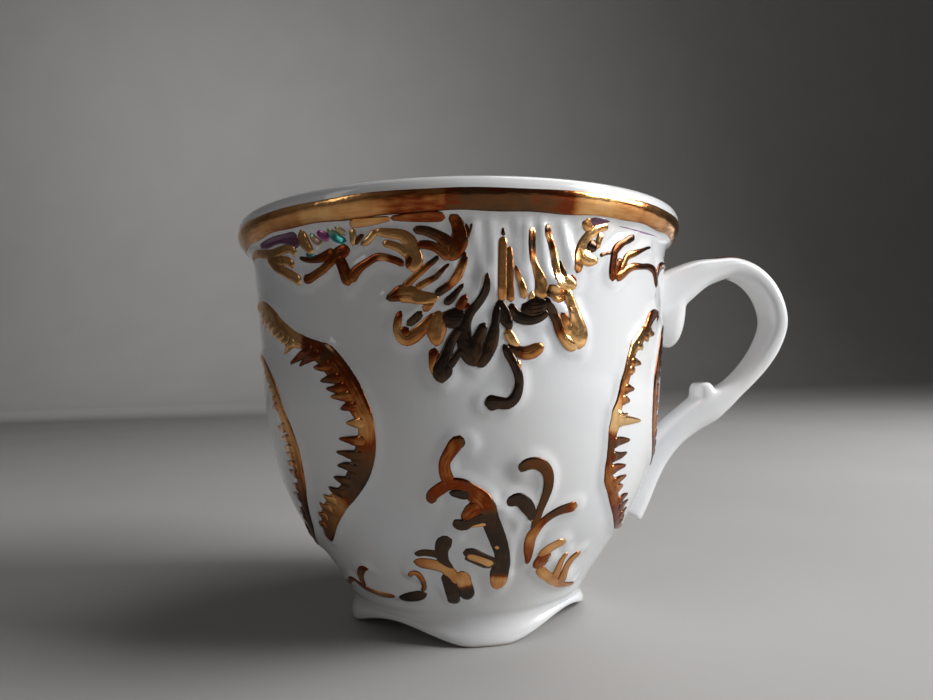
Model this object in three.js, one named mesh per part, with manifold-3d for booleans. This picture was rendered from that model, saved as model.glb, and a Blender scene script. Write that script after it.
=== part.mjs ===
// A porcelain teacup: a thin-walled bowl on a scalloped foot, a separately made handle,
// a gold band under the lip, and raised scroll-work and enamel laid on the outside wall.
// Millimetres, +Z up. The cup stands on z = 0 and the handle points along +X.
// The ornament repeats twice: the front half faces -Y and the back half is the same, turned 180 degrees.

import * as THREE from "three";
import { mergeVertices } from "three/addons/utils/BufferGeometryUtils.js";
import Module from "manifold-3d";

const wasm = await Module();
wasm.setup();

// ---------- driving dimensions ----------

const cupHeight = 70;
const rimRadius = 40;
const neckRadius = 21.9; // where the bowl meets the foot
const neckHeight = 6;
const wall = 2.2;
const floorThickness = 3;
const lipRound = 0.95; // half the thickness of the rolled lip
const lipShoulder = 0.45; // in from the rim, on the outside of the roll
const lipDrop = 0.35; // of the roll's shoulders below its top
const floorRise = [1.7, 0.4]; // of the inside floor towards the wall, at floorAt
const floorAt = [0.82, 0.64]; // shares of the neck radius

const footRadius = 21.5; // outside, on the surface the cup stands on
const footWaist = 20.9; // outside, at the narrowest ring above it
const footWall = 2.6;
const footChamfer = 0.8; // inside the ring, under the recess
const footEdgeIn = 0.4; // bevel on the standing edge, across
const footEdgeUp = 0.5; // and up
const footWaistAt = 0.6; // height of the waist as a share of neckHeight
const recessHeight = 3.5; // how far the underside is raised inside the foot ring
const archCount = 4;
const archRise = 2.9;
const archHalfAngle = 37.5; // degrees either side of the middle of one arch
const archFullness = 1.5; // power that sets how quickly an arch rises
const archPull = 0.6; // how far the foot draws in at an arch

const handleStandOff = 29.5; // from the wall to the outside of the loop
const handleWidth = 7.6; // across the strap, along Y

const bandTop = 1.75; // depth below the lip
const bandBottom = 4.75;

const dashFrom = 0.2; // gold dash on the handle, as shares of the strap's length
const dashTo = 0.31;
const dashWidth = 1.6;
const dashSteps = 4;

const skinClearance = 0.15; // between the glazed wall and anything laid on it
const skinThickness = 0.35;
const fitClearance = 0.3; // between the wall and the ends of the handle

const turns = 48; // facets round the cup
const strokeStep = 2.8; // length of one facet along a brush stroke
const fewestSteps = 3; // along the shortest stroke
const strapSides = 12; // facets round the strap
const strapSquareness = 0.75; // power that flattens its round section
const strapSteps = 34; // sections along each part of the handle
const leafSteps = 8;
const spurSteps = 4;
const combTaper = { start: 0.1, length: 0.8, power: 0.5 }; // how a comb edge narrows at its ends
const combRoot = 0.15; // how far the gaps between the teeth stand off the strip

// ---------- colours ----------

const glaze = { color: 0xe9edf1, roughness: 0.12, metalness: 0 };
const gold = { color: 0xc98a3a, roughness: 0.25, metalness: 1 };
const brownGold = { color: 0x7a4218, roughness: 0.3, metalness: 1 };
const enamel = { color: 0x3a1230, roughness: 0.2, metalness: 0 };

const degree = Math.PI / 180;

// ---------- the outside wall ----------

// The outside line of the bowl from lip to neck: [depth below the lip, radius]. It is drawn for
// the cup in drawnCup and stretched to the driving dimensions.
const drawnCup = { height: 70, neckHeight: 6, rim: 40, neck: 21.9, standOff: 29.5 };
const wallLine = [
  [1.4, 40],
  [3, 39.9],
  [4.6, 38.8],
  [5.5, 37.9],
  [7.5, 37.45],
  [14, 36.93],
  [22, 36.42],
  [32, 35.85],
  [42, 34.07],
  [50, 31.05],
  [57, 26.5],
  [62, 23.1],
  [64, 21.9],
];

// Depths of the rings of the inside wall, in the same drawing.
const insideDepths = [2.4, 5, 14, 24, 34, 42, 49, 55, 59];

const depthStretch = (cupHeight - neckHeight) / (drawnCup.height - drawnCup.neckHeight);
const girthStretch = (rimRadius - neckRadius) / (drawnCup.rim - drawnCup.neck);
const wallCurve = new THREE.SplineCurve(
  wallLine.map(
    ([depth, radius]) =>
      new THREE.Vector2(depth * depthStretch, neckRadius + (radius - drawnCup.neck) * girthStretch),
  ),
);
const wallSamples = wallCurve.getPoints(240);
const wallRings = wallCurve.getPoints(2 * (wallLine.length - 1));

// Radius of the outside wall at a depth below the lip.
function wallRadius(depth) {
  const last = wallSamples.length - 1;
  const next = wallSamples.findIndex((sample) => sample.x > depth);
  const index = next === -1 ? last : Math.max(next, 1);
  const from = wallSamples[index - 1];
  const to = wallSamples[index];
  return from.y + ((to.y - from.y) * (depth - from.x)) / (to.x - from.x);
}

// Change of radius for each millimetre of depth.
function wallSlope(depth) {
  const step = 0.4;
  return (wallRadius(depth + step) - wallRadius(depth - step)) / (2 * step);
}

// A point on the outside wall, lifted off it along its normal. The angle is in degrees from the
// front (-Y) towards the handle (+X), and the depth is that of the drawn cup.
function onWall(angle, drawnDepth, lift) {
  const depth = drawnDepth * depthStretch;
  const slope = wallSlope(depth);
  const size = Math.hypot(1, slope);
  const radius = wallRadius(depth) + lift / size;
  const height = cupHeight - depth + (lift * slope) / size;
  return new THREE.Vector3(
    radius * Math.sin(angle * degree),
    -radius * Math.cos(angle * degree),
    height,
  );
}

// ---------- solids ----------

function solidFrom(geometry) {
  const bare = geometry.clone();
  bare.deleteAttribute("normal");
  bare.deleteAttribute("uv");
  const merged = mergeVertices(bare, 1e-4);
  return new wasm.Manifold(
    new wasm.Mesh({
      numProp: 3,
      vertProperties: new Float32Array(merged.attributes.position.array),
      triVerts: new Uint32Array(merged.index.array),
    }),
  );
}

function geometryFrom(solid) {
  const mesh = solid.getMesh();
  const geometry = new THREE.BufferGeometry();
  geometry.setAttribute("position", new THREE.BufferAttribute(mesh.vertProperties, 3));
  geometry.setIndex(new THREE.BufferAttribute(mesh.triVerts, 1));
  return geometry;
}

// A closed solid between two grids of the same size: outer faces out, inner closes it behind.
function solidBetween(inner, outer) {
  const rows = outer.length;
  const columns = outer[0].length;
  const positions = [...inner.flat(), ...outer.flat()].flatMap((point) => point.toArray());
  const at = (layer, row, column) => layer * rows * columns + row * columns + column;
  const index = [];
  const quad = (a, b, c, d) => index.push(a, b, c, a, c, d);
  for (let row = 0; row + 1 < rows; row++) {
    for (let column = 0; column + 1 < columns; column++) {
      quad(at(1, row, column), at(1, row + 1, column), at(1, row + 1, column + 1), at(1, row, column + 1));
      quad(at(0, row, column), at(0, row, column + 1), at(0, row + 1, column + 1), at(0, row + 1, column));
    }
    const far = columns - 1;
    quad(at(0, row, 0), at(0, row + 1, 0), at(1, row + 1, 0), at(1, row, 0));
    quad(at(1, row, far), at(1, row + 1, far), at(0, row + 1, far), at(0, row, far));
  }
  const end = rows - 1;
  for (let column = 0; column + 1 < columns; column++) {
    quad(at(0, 0, column), at(1, 0, column), at(1, 0, column + 1), at(0, 0, column + 1));
    quad(at(0, end, column + 1), at(1, end, column + 1), at(1, end, column), at(0, end, column));
  }
  const geometry = new THREE.BufferGeometry();
  geometry.setAttribute("position", new THREE.Float32BufferAttribute(positions, 3));
  geometry.setIndex(index);
  return geometry;
}

// A thin skin over a grid of [angle, depth] places on the wall.
function skinOver(places) {
  const lifted = (lift) => places.map((row) => row.map(([angle, depth]) => onWall(angle, depth, lift)));
  return solidBetween(lifted(skinClearance), lifted(skinClearance + skinThickness));
}

// ---------- the cup ----------

// 1 in the middle of an arch of the foot, 0 on the pads it stands on.
function archShare(angle) {
  const pitch = 360 / archCount;
  const fromArch = ((((angle % pitch) + pitch) % pitch) - pitch / 2) / archHalfAngle;
  return Math.abs(fromArch) < 1 ? Math.cos((fromArch * Math.PI) / 2) ** archFullness : 0;
}

function cupBody() {
  const outside = wallRings.map((ring) => new THREE.Vector2(ring.y, cupHeight - ring.x));
  const lipTop = [
    new THREE.Vector2(rimRadius - lipShoulder, cupHeight - lipDrop),
    new THREE.Vector2(rimRadius - lipRound, cupHeight),
    new THREE.Vector2(rimRadius - 2 * lipRound + lipShoulder / 2, cupHeight - lipDrop),
  ];
  const inside = insideDepths.map((drawnDepth) => {
    const depth = drawnDepth * depthStretch;
    const slope = wallSlope(depth);
    const size = Math.hypot(1, slope);
    const shell = drawnDepth < bandBottom ? 2 * lipRound : wall;
    return new THREE.Vector2(wallRadius(depth) - shell / size, cupHeight - depth - (shell * slope) / size);
  });
  const floorHeight = recessHeight + floorThickness;
  const floorLine = [
    ...floorAt.map((share, index) => new THREE.Vector2(neckRadius * share, floorHeight + floorRise[index])),
    new THREE.Vector2(0, floorHeight),
  ];
  const footInside = footRadius - footWall;
  const footLine = [
    new THREE.Vector2(0, recessHeight),
    new THREE.Vector2(footInside - footChamfer, recessHeight),
    new THREE.Vector2(footInside, recessHeight - footChamfer),
    new THREE.Vector2(footInside, 0),
    new THREE.Vector2(footRadius - footEdgeIn, 0),
    new THREE.Vector2(footRadius, footEdgeUp),
    new THREE.Vector2(footWaist, footWaistAt * neckHeight),
  ];
  const profile = [...footLine, ...outside.reverse(), ...lipTop, ...inside, ...floorLine];
  const geometry = new THREE.LatheGeometry(profile, turns);
  geometry.rotateX(Math.PI / 2);

  // Arches are raised out of the lower edge of the foot, and the ring draws in above them.
  const position = geometry.attributes.position;
  for (let index = 0; index < position.count; index++) {
    const x = position.getX(index);
    const y = position.getY(index);
    const z = position.getZ(index);
    const radius = Math.hypot(x, y);
    if (z >= recessHeight || radius < footInside - footChamfer / 2) continue;
    const share = archShare(Math.atan2(x, -y) / degree) * (1 - z / recessHeight);
    const drawnIn = 1 - (archPull * share) / radius;
    position.setXYZ(index, x * drawnIn, y * drawnIn, z + archRise * share);
  }
  return geometry;
}

function rimBand() {
  const rows = [];
  const bandShares = [0, 0.42, 0.7, 1]; // rings closer together over the turn of the rim
  const depths = bandShares.map((share) => bandTop + share * (bandBottom - bandTop));
  for (let turn = 0; turn < turns; turn++) {
    rows.push(depths.map((depth) => [(-360 * turn) / turns, depth / depthStretch]));
  }
  rows.push(rows[0]);
  const lifted = (lift) => rows.map((row) => row.map(([angle, depth]) => onWall(angle, depth, lift)));
  return ringBetween(lifted(skinClearance), lifted(skinClearance + skinThickness));
}

// As solidBetween, for grids whose last row is the first again, so that there are no end faces.
function ringBetween(inner, outer) {
  const geometry = solidBetween(inner, outer);
  const ends = 2 * (outer[0].length - 1) * 6;
  const index = Array.from(geometry.index.array);
  geometry.setIndex(index.slice(0, index.length - ends));
  return geometry;
}

// ---------- the handle ----------

// Stations along the middle of the strap, from the upper root round the loop to the lower root:
// [distance off the wall, depth, thickness in the plane of the loop, width as a share of
// handleWidth]. Both ends start inside the wall and are cut back to it.
const strapStations = [
  [-2.6, 14.4, 9.6, 1.24],
  [2.3, 13.2, 8.8, 1.2],
  [6.2, 10.8, 7.8, 1.14],
  [10.2, 8.6, 6.2, 1.08],
  [13.8, 7.6, 4.9, 1.02],
  [17.6, 7.1, 4.2, 1],
  [21.5, 8.4, 4.2, 1],
  [24.8, 11.2, 4.1, 1],
  [26.9, 15, 4.0, 1],
  [27.5, 18.8, 3.9, 1],
  [26.1, 22.9, 3.8, 1],
  [23.8, 26.3, 3.6, 0.98],
  [21.1, 29.2, 3.5, 0.96],
  [18.6, 31.4, 3.7, 0.95],
  [16.1, 33.2, 4.9, 0.97],
  [13.2, 34.9, 6.2, 1],
  [9.6, 37.2, 5.6, 0.98],
  [6.4, 39.9, 5.4, 0.96],
  [3.9, 43.4, 5.7, 0.98],
  [2.6, 47.2, 6.3, 1.02],
  [2.6, 51, 6.4, 1.06],
  [3.0, 54.4, 6.6, 1.1],
];

// The leaf that hangs below the upper root, against the wall.
const leafStations = [
  [3.2, 9.6, 6, 1],
  [3.8, 13, 8.6, 1.12],
  [3.7, 17.5, 8.4, 1.08],
  [3.4, 20.8, 7.4, 0.9],
  [3.2, 22, 5.4, 0.6],
];

// The thumb-like spur that stands up inside the loop.
const spurStations = [
  [13.4, 36.2, 4.8, 0.9],
  [12.9, 33.4, 4.6, 0.86],
  [12.2, 31, 3.8, 0.8],
  [11.9, 29.6, 1.9, 0.6],
];

// A point off the wall in the plane of the handle.
function offWall(distance, drawnDepth) {
  const depth = drawnDepth * depthStretch;
  const reach = handleStandOff / drawnCup.standOff;
  return new THREE.Vector3(wallRadius(depth) + distance * reach, 0, cupHeight - depth);
}

const across = new THREE.Vector3(0, 1, 0);

// Where a strap's middle is at a share of its length, which way is into the loop, and how thick
// (x) and wide (y) the strap is there.
function strapFrame(stations, share) {
  const centres = new THREE.CatmullRomCurve3(stations.map(([off, depth]) => offWall(off, depth)));
  const sizes = new THREE.CatmullRomCurve3(
    stations.map(([, , thickness, width]) => new THREE.Vector3(thickness, width * handleWidth, 0)),
  );
  const inward = new THREE.Vector3().crossVectors(across, centres.getTangent(share)).normalize();
  return { centre: centres.getPoint(share), inward, size: sizes.getPoint(share) };
}

// A flattened round section carried along a line in the plane of the handle.
function strapAlong(stations, steps) {
  const flat = (value) => Math.sign(value) * Math.abs(value) ** strapSquareness;
  const rings = [];
  for (let step = 0; step <= steps; step++) {
    const { centre, inward, size } = strapFrame(stations, step / steps);
    const ring = [];
    for (let side = 0; side < strapSides; side++) {
      const turn = (2 * Math.PI * side) / strapSides;
      ring.push(
        centre
          .clone()
          .addScaledVector(inward, (flat(Math.cos(turn)) * size.x) / 2)
          .addScaledVector(across, (flat(Math.sin(turn)) * size.y) / 2),
      );
    }
    rings.push(ring);
  }
  return closedTube(rings);
}

// A tube through equal rings, with a fan over each end.
function closedTube(rings) {
  const sides = rings[0].length;
  const middle = (ring) => ring.reduce((sum, p) => sum.add(p), new THREE.Vector3()).divideScalar(sides);
  const ends = [middle(rings[0]), middle(rings[rings.length - 1])];
  const positions = [...rings.flat(), ...ends].flatMap((point) => point.toArray());
  const index = [];
  const first = rings.length * sides;
  for (let side = 0; side < sides; side++) {
    const next = (side + 1) % sides;
    for (let row = 0; row + 1 < rings.length; row++) {
      const a = row * sides + side;
      const b = row * sides + next;
      index.push(a, b, b + sides, a, b + sides, a + sides);
    }
    const last = (rings.length - 1) * sides;
    index.push(first, next, side, first + 1, last + side, last + next);
  }
  const geometry = new THREE.BufferGeometry();
  geometry.setAttribute("position", new THREE.Float32BufferAttribute(positions, 3));
  geometry.setIndex(index);
  return geometry;
}

// The cup's outside as one plug, grown by a gap, to cut the ends of the handle back to the wall.
function wallPlug(gap) {
  const line = wallRings.map((ring) => new THREE.Vector2(ring.y + gap, cupHeight - ring.x));
  line.push(new THREE.Vector2(0, neckHeight));
  line.unshift(new THREE.Vector2(0, line[0].y));
  const geometry = new THREE.LatheGeometry(line.reverse(), turns);
  geometry.rotateX(Math.PI / 2);
  return solidFrom(geometry);
}

function handle() {
  const strap = solidFrom(strapAlong(strapStations, strapSteps));
  const leaf = solidFrom(strapAlong(leafStations, leafSteps));
  const spur = solidFrom(strapAlong(spurStations, spurSteps));
  return geometryFrom(strap.add(leaf).add(spur).subtract(wallPlug(fitClearance)));
}

// A short dash of gold along the top of the loop.
function handleGilding() {
  const surface = (lift) => {
    const rows = [];
    for (let step = 0; step <= dashSteps; step++) {
      const share = dashFrom + (step / dashSteps) * (dashTo - dashFrom);
      const { centre, inward, size } = strapFrame(strapStations, share);
      const top = centre.addScaledVector(inward, -(size.x / 2 + lift));
      rows.push([-0.5, 0.5].map((side) => top.clone().addScaledVector(across, side * dashWidth)));
    }
    return rows;
  };
  return solidBetween(surface(skinClearance), surface(skinClearance + skinThickness));
}

// ---------- ornament ----------

// A place on the wall, moved sideways across a line by a distance in millimetres.
function besideLine(line, share, sideways) {
  const here = line.getPoint(share);
  const depth = here.y * depthStretch;
  const perDegree = wallRadius(depth) * degree;
  const perDepth = Math.hypot(1, wallSlope(depth)) * depthStretch;
  const tangent = line.getTangent(share);
  const along = tangent.x * perDegree;
  const down = tangent.y * perDepth;
  const length = Math.hypot(along, down);
  return [
    here.x + (sideways * down) / length / perDegree,
    here.y - (sideways * along) / length / perDepth,
  ];
}

// A smooth line through [angle, depth, width] points.
function lineThrough(points) {
  return new THREE.CatmullRomCurve3(
    points.map(([angle, depth, width = 0]) => new THREE.Vector3(angle, depth, width)),
  );
}

// Length over the wall from point to point.
function lengthOf(points) {
  const places = points.map(([angle, depth]) => onWall(angle, depth, 0));
  return places.slice(1).reduce((sum, place, index) => sum + place.distanceTo(places[index]), 0);
}

// One brush stroke: a ribbon of varying width along a line.
function stroke(points) {
  const line = lineThrough(points);
  const steps = Math.max(fewestSteps, Math.round(lengthOf(points) / strokeStep));
  const places = [];
  for (let step = 0; step <= steps; step++) {
    const share = step / steps;
    const half = line.getPoint(share).z / 2;
    places.push([besideLine(line, share, -half), besideLine(line, share, half)]);
  }
  return skinOver(places);
}

// A comb-edged crescent: a strip along a smooth line, with teeth on one side of it.
// side is 1 or -1, for teeth on the one hand or the other of the line. The skin runs from the line
// to the tips and back to the strip in turn.
function combCrescent({ line: points, teeth, strip, tooth, side }) {
  const line = lineThrough(points);
  const places = [];
  for (let step = 0; step <= 2 * teeth; step++) {
    const share = step / (2 * teeth);
    const fullness = Math.sin(Math.PI * (combTaper.start + combTaper.length * share));
    const taper = fullness ** combTaper.power;
    const reach = strip * taper + (step % 2 ? tooth * taper : combRoot);
    places.push([0, reach].map((sideways) => besideLine(line, share, side * sideways)));
  }
  if (side < 0) places.forEach((row) => row.reverse());
  return skinOver(places);
}

const crescents = {
  side_crescent_left: {
    line: [
      [-78, 22.5],
      [-66, 25.8],
      [-58.5, 32],
      [-55, 38.5],
      [-56, 44.5],
      [-62, 50.3],
      [-77, 56],
    ],
    teeth: 14,
    strip: 1.9,
    tooth: 2.8,
    side: -1,
  },
  large_crescent_left: {
    line: [
      [-76, 14.2],
      [-65, 14.6],
      [-55, 18.5],
      [-45, 21.2],
      [-38, 22.9],
      [-33, 27],
      [-29.4, 33.5],
      [-30, 39.5],
      [-37, 45.1],
      [-47, 49.7],
      [-55, 53],
    ],
    teeth: 18,
    strip: 2.1,
    tooth: 2.6,
    side: -1,
  },
  large_crescent_right: {
    line: [
      [53, 17.2],
      [46, 18.3],
      [38, 21.8],
      [33.3, 27],
      [29.6, 32.8],
      [28.7, 39],
      [30.5, 44.6],
      [37.5, 49.2],
      [51, 53.2],
    ],
    teeth: 18,
    strip: 1.8,
    tooth: 2.9,
    side: 1,
  },
  side_crescent_right: {
    line: [
      [64, 20.2],
      [56, 22.8],
      [51.3, 27.5],
      [50.4, 32.5],
      [53.5, 38],
      [60, 41.8],
      [67, 44.2],
    ],
    teeth: 12,
    strip: 2.2,
    tooth: 2.6,
    side: 1,
  },
};

// Brush strokes by motif: each stroke is a list of [angle, depth, width].
const motifs = {
  scroll_far_left: {
    finish: gold,
    strokes: [
      [
        [-76, 6.4, 1],
        [-70, 6.6, 1.1],
        [-64, 7.2, 1.1],
        [-60, 8.2, 1.5],
        [-54, 10.9, 1.2],
        [-48.4, 12.4, 0.7],
      ],
      [[-61, 7.7, 1], [-58.5, 6.8, 1], [-55.5, 6.4, 0.9], [-52.5, 6.8, 0.8], [-50, 7.7, 0.8]],
      [[-59.5, 8.2, 0.9], [-55.5, 8.6, 0.9], [-50, 9.8, 0.9]],
    ],
  },
  swag_left: {
    finish: brownGold,
    strokes: [
      [[-46.6, 12.3, 0.8], [-42, 11.5, 1], [-38, 9.8, 1.1], [-33, 9.2, 0.9]],
      [[-35.8, 9.2, 0.9], [-35, 11, 1], [-33.8, 13.4, 1.3]],
      [[-34.6, 13, 1], [-31.5, 11.5, 0.9], [-26, 10.3, 0.8], [-20.9, 10.9, 0.8]],
    ],
  },
  enamel_left: {
    finish: enamel,
    strokes: [
      [
        [-65.5, 5.8, 0.6],
        [-61, 5.9, 1],
        [-57.5, 5.4, 0.5],
        [-53, 5.5, 0.6],
        [-49.8, 6, 1.3],
        [-47.4, 6.3, 1.7],
      ],
    ],
  },
  scroll_left: {
    finish: brownGold,
    strokes: [
      [[-27, 6.9, 1.2], [-23.5, 7, 1.3], [-19.8, 8.2, 1.7], [-18, 10.8, 1.6], [-18.6, 12.4, 1]],
      [[-19, 6.9, 0.6], [-15, 6.9, 0.7], [-12, 8, 1.1], [-10.5, 10.4, 1.2]],
      [[-10.8, 5.6, 1], [-8.8, 6.6, 1.4], [-8.4, 9, 1.4], [-10.3, 10.7, 1.2]],
      [[-10.4, 10.3, 1], [-14, 9, 0.8], [-18.8, 8.9, 0.8]],
    ],
  },
  palmette_leaf_left: {
    finish: gold,
    strokes: [
      [[-24.3, 16, 0.8], [-21, 15.8, 1.6], [-16.5, 15.7, 1.5], [-13.5, 16.1, 0.9]],
      [[-15.5, 15.8, 0.7], [-11, 14.6, 0.8], [-8.4, 12.6, 0.7], [-7.6, 11.6, 0.6]],
      [[-21, 15.4, 0.7], [-17.5, 13.5, 0.6], [-14, 11.6, 0.5]],
    ],
  },
  palmette_leaf_low: {
    finish: brownGold,
    strokes: [
      [[-21.2, 17.9, 0.6], [-22.3, 19.5, 0.9], [-21, 21, 1.4], [-17.5, 20.4, 1.2], [-14, 19.6, 1]],
      [[-16.8, 17.9, 1], [-14.3, 19, 2], [-13.4, 21.3, 1.2]],
      [[-14, 18.6, 1.2], [-10.3, 19.1, 2.4], [-7.9, 20.3, 1.2]],
      [[-9.8, 19, 1.1], [-8.4, 17.4, 1.1], [-7.4, 16, 0.7]],
      [[-3, 14.9, 0.5], [-5.2, 17.7, 0.8], [-8, 20, 1.2], [-8.2, 22.6, 1.5], [-5.6, 25.3, 1.2]],
      [[-6.2, 25, 1.3], [-2.9, 23.2, 1], [-1.6, 19.3, 0.5]],
      [[-6.6, 24.2, 0.9], [-4.6, 21.8, 0.9], [-3.6, 19.6, 0.5]],
      [[-8.2, 21, 1.2], [-11.3, 23, 1], [-13, 25.8, 2], [-13.2, 27.4, 1.2]],
    ],
  },
  palmette_stem: {
    finish: brownGold,
    strokes: [
      [[0.8, 7.6, 0.3], [0.6, 11, 1.2], [0.4, 16.5, 1.2], [0.8, 19.4, 1.2], [4.4, 23.4, 0.9]],
      [[1.9, 22.9, 0.7], [5.5, 23.9, 1.4], [9.2, 22.9, 0.7]],
      [[0.9, 22.2, 0.5], [3.2, 25.3, 0.9], [3.7, 28.8, 0.9], [1, 31, 1.2], [-3.9, 30.8, 1.6]],
    ],
  },
  palmette_cup: {
    finish: gold,
    strokes: [
      [[7, 6.4, 0.4], [7, 9.6, 1], [8.2, 13.6, 1.3], [9, 17.2, 1.8]],
      [[1.9, 17.1, 0.5], [4.6, 18.5, 2.2], [7, 18.3, 3], [9.7, 17.4, 1.8]],
      [[2.2, 9.6, 0.3], [2.4, 13, 0.6], [2.8, 17.8, 0.6]],
      [[3.9, 12, 0.3], [4.4, 14.5, 0.5], [5.1, 18, 0.7]],
    ],
  },
  palmette_leaf_right: {
    finish: gold,
    strokes: [
      [[10.6, 6, 0.4], [11.4, 9.4, 0.9], [13.3, 13.4, 1.1], [17.2, 14.1, 0.9]],
      [[15.6, 13.9, 1.1], [17, 18, 1.4], [18.4, 21.4, 2.6], [18.2, 22.9, 1.5]],
      [[12.5, 18.4, 0.5], [14, 20.7, 1.3], [17.5, 22.3, 2]],
      [[11.6, 15, 0.9], [14.2, 15.5, 1.4], [16.6, 15, 0.9]],
    ],
  },
  scroll_right: {
    finish: gold,
    strokes: [
      [[24.5, 6.5, 0.7], [20.4, 7.6, 1.4], [19, 9.7, 1.6], [21, 11.2, 1.2], [24.4, 10.2, 0.8]],
      [[19, 10.4, 1], [18.2, 11.8, 1], [18.5, 12.6, 0.8]],
    ],
  },
  swag_right: {
    finish: brownGold,
    strokes: [
      [[36.5, 6.7, 0.6], [31.6, 8, 1.1], [28.9, 11, 1.2], [30, 13, 1.5]],
      [[29.4, 12.8, 1.3], [34, 11.6, 1], [41, 10.6, 0.7], [47.5, 10.9, 1], [50, 13.3, 0.8]],
      [[48, 11.2, 0.9], [52, 10.3, 1], [58, 9.6, 0.5]],
      [[28.9, 11.8, 0.8], [31.8, 10, 0.9], [37.5, 8.8, 0.6], [42, 8.1, 0.4]],
    ],
  },
  enamel_right: {
    finish: enamel,
    strokes: [[[21, 5.4, 0.4], [26, 5.45, 0.5], [40, 5.4, 0.4], [60, 5.4, 0.3]]],
  },
  spray_stem: {
    finish: brownGold,
    strokes: [
      [
        [-17, 44.8, 1],
        [-14, 42.8, 1.1],
        [-9, 43, 1.4],
        [-4.3, 45.8, 1.8],
        [-0.7, 50.8, 1.8],
        [1.8, 56.4, 2.2],
        [2, 59.8, 1.2],
      ],
      [[-7.9, 36.4, 0.9], [-10.2, 36.3, 1.5], [-12.9, 39.4, 0.9], [-11.4, 42.8, 1]],
      [[-11.2, 47.9, 0.9], [-8.5, 47.3, 1.2], [-3.3, 46.9, 1]],
      [[-9.5, 52.8, 1], [-5, 53.8, 1.6], [0.6, 55.4, 1.4]],
    ],
  },
  spray_leaf_right: {
    finish: brownGold,
    strokes: [
      [[4.3, 40.5, 0.8], [7.8, 39.5, 1.1], [11.3, 41.9, 1.1], [11.4, 45.5, 0.9], [10, 49.9, 0.9]],
      [[1.8, 45.1, 0.9], [5.6, 45.3, 1.4], [10, 50, 0.8]],
      [[21, 46.8, 1], [15.5, 47, 0.8], [10.6, 49.7, 1], [9.2, 52.3, 1.1], [10.2, 56, 0.5]],
    ],
  },
  scroll_low_right: {
    finish: gold,
    strokes: [
      [
        [21.3, 52.9, 0.7],
        [16.5, 53.4, 1.4],
        [15.6, 55.8, 1.4],
        [22, 59.1, 0.8],
        [31, 61.1, 0.8],
        [40, 62, 0.7],
      ],
      [[31.5, 55.2, 0.8], [27.9, 57, 1], [30, 61.2, 0.8]],
    ],
  },
  spray_leaf_left: {
    finish: gold,
    strokes: [
      [[-25, 53.4, 1], [-20, 53.7, 2], [-15, 55.6, 1.9], [-10.6, 59, 1]],
      [[-13, 50.2, 1.3], [-15.4, 52, 1.5], [-14.9, 55.4, 1.2]],
      [[-15.8, 55.8, 1], [-14.4, 59.3, 1.4], [-14.9, 62.3, 1.3]],
      [[-10, 56, 1.5], [-9.6, 58.8, 1.8], [-8.8, 61.3, 1.2]],
    ],
  },
  ground_line_left: {
    finish: brownGold,
    strokes: [
      [
        [-70, 61.8, 0.5],
        [-60, 60.5, 0.8],
        [-51, 61.6, 0.9],
        [-39, 62, 0.8],
        [-29, 61.1, 1.5],
        [-25, 60.7, 1],
      ],
      [[-53.4, 61.3, 0.8], [-49.5, 58.8, 0.8], [-44.8, 57.2, 0.7]],
    ],
  },
};

function motif(strokes) {
  const solids = strokes.map((points) => solidFrom(stroke(points)));
  return geometryFrom(solids.reduce((whole, piece) => whole.add(piece)));
}

// ---------- assembly ----------

const teacup = new THREE.Group();

function addPiece(parent, name, geometry, finish) {
  const mesh = new THREE.Mesh(geometry, new THREE.MeshStandardMaterial(finish));
  mesh.name = name;
  parent.add(mesh);
}

addPiece(teacup, "cup_body", cupBody(), glaze);
addPiece(teacup, "handle", handle(), glaze);
addPiece(teacup, "rim_band", rimBand(), gold);
addPiece(teacup, "handle_gilding", handleGilding(), gold);

["front", "back"].forEach((half, copy) => {
  const side = new THREE.Group();
  side.rotation.z = copy * Math.PI;
  teacup.add(side);
  for (const [name, crescent] of Object.entries(crescents)) {
    addPiece(side, `${half}_${name}`, combCrescent(crescent), gold);
  }
  for (const [name, { finish, strokes }] of Object.entries(motifs)) {
    addPiece(side, `${half}_${name}`, motif(strokes), finish);
  }
});

// The origin is on the table under the middle of the whole outline, handle included.
const outline = new THREE.Box3().setFromObject(teacup, true);
teacup.position.x = -(outline.min.x + outline.max.x) / 2;

export default teacup;
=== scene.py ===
"""Fine surfaces and finishes of a gilded porcelain teacup, built round its CAD frame.

The wall, the ornament and the handle are drawn in millimetres on the cup itself: a place on the
wall is (angle, depth), degrees from the front (-Y) towards the handle (+X) and millimetres below
the lip. Every length becomes metres through MM, which comes from the height of the CAD cup. The
ornament is drawn once, for the front half, and laid a second time half a turn round.
"""
import math

import bpy
import numpy as np
from mathutils import Matrix, Vector


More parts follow.
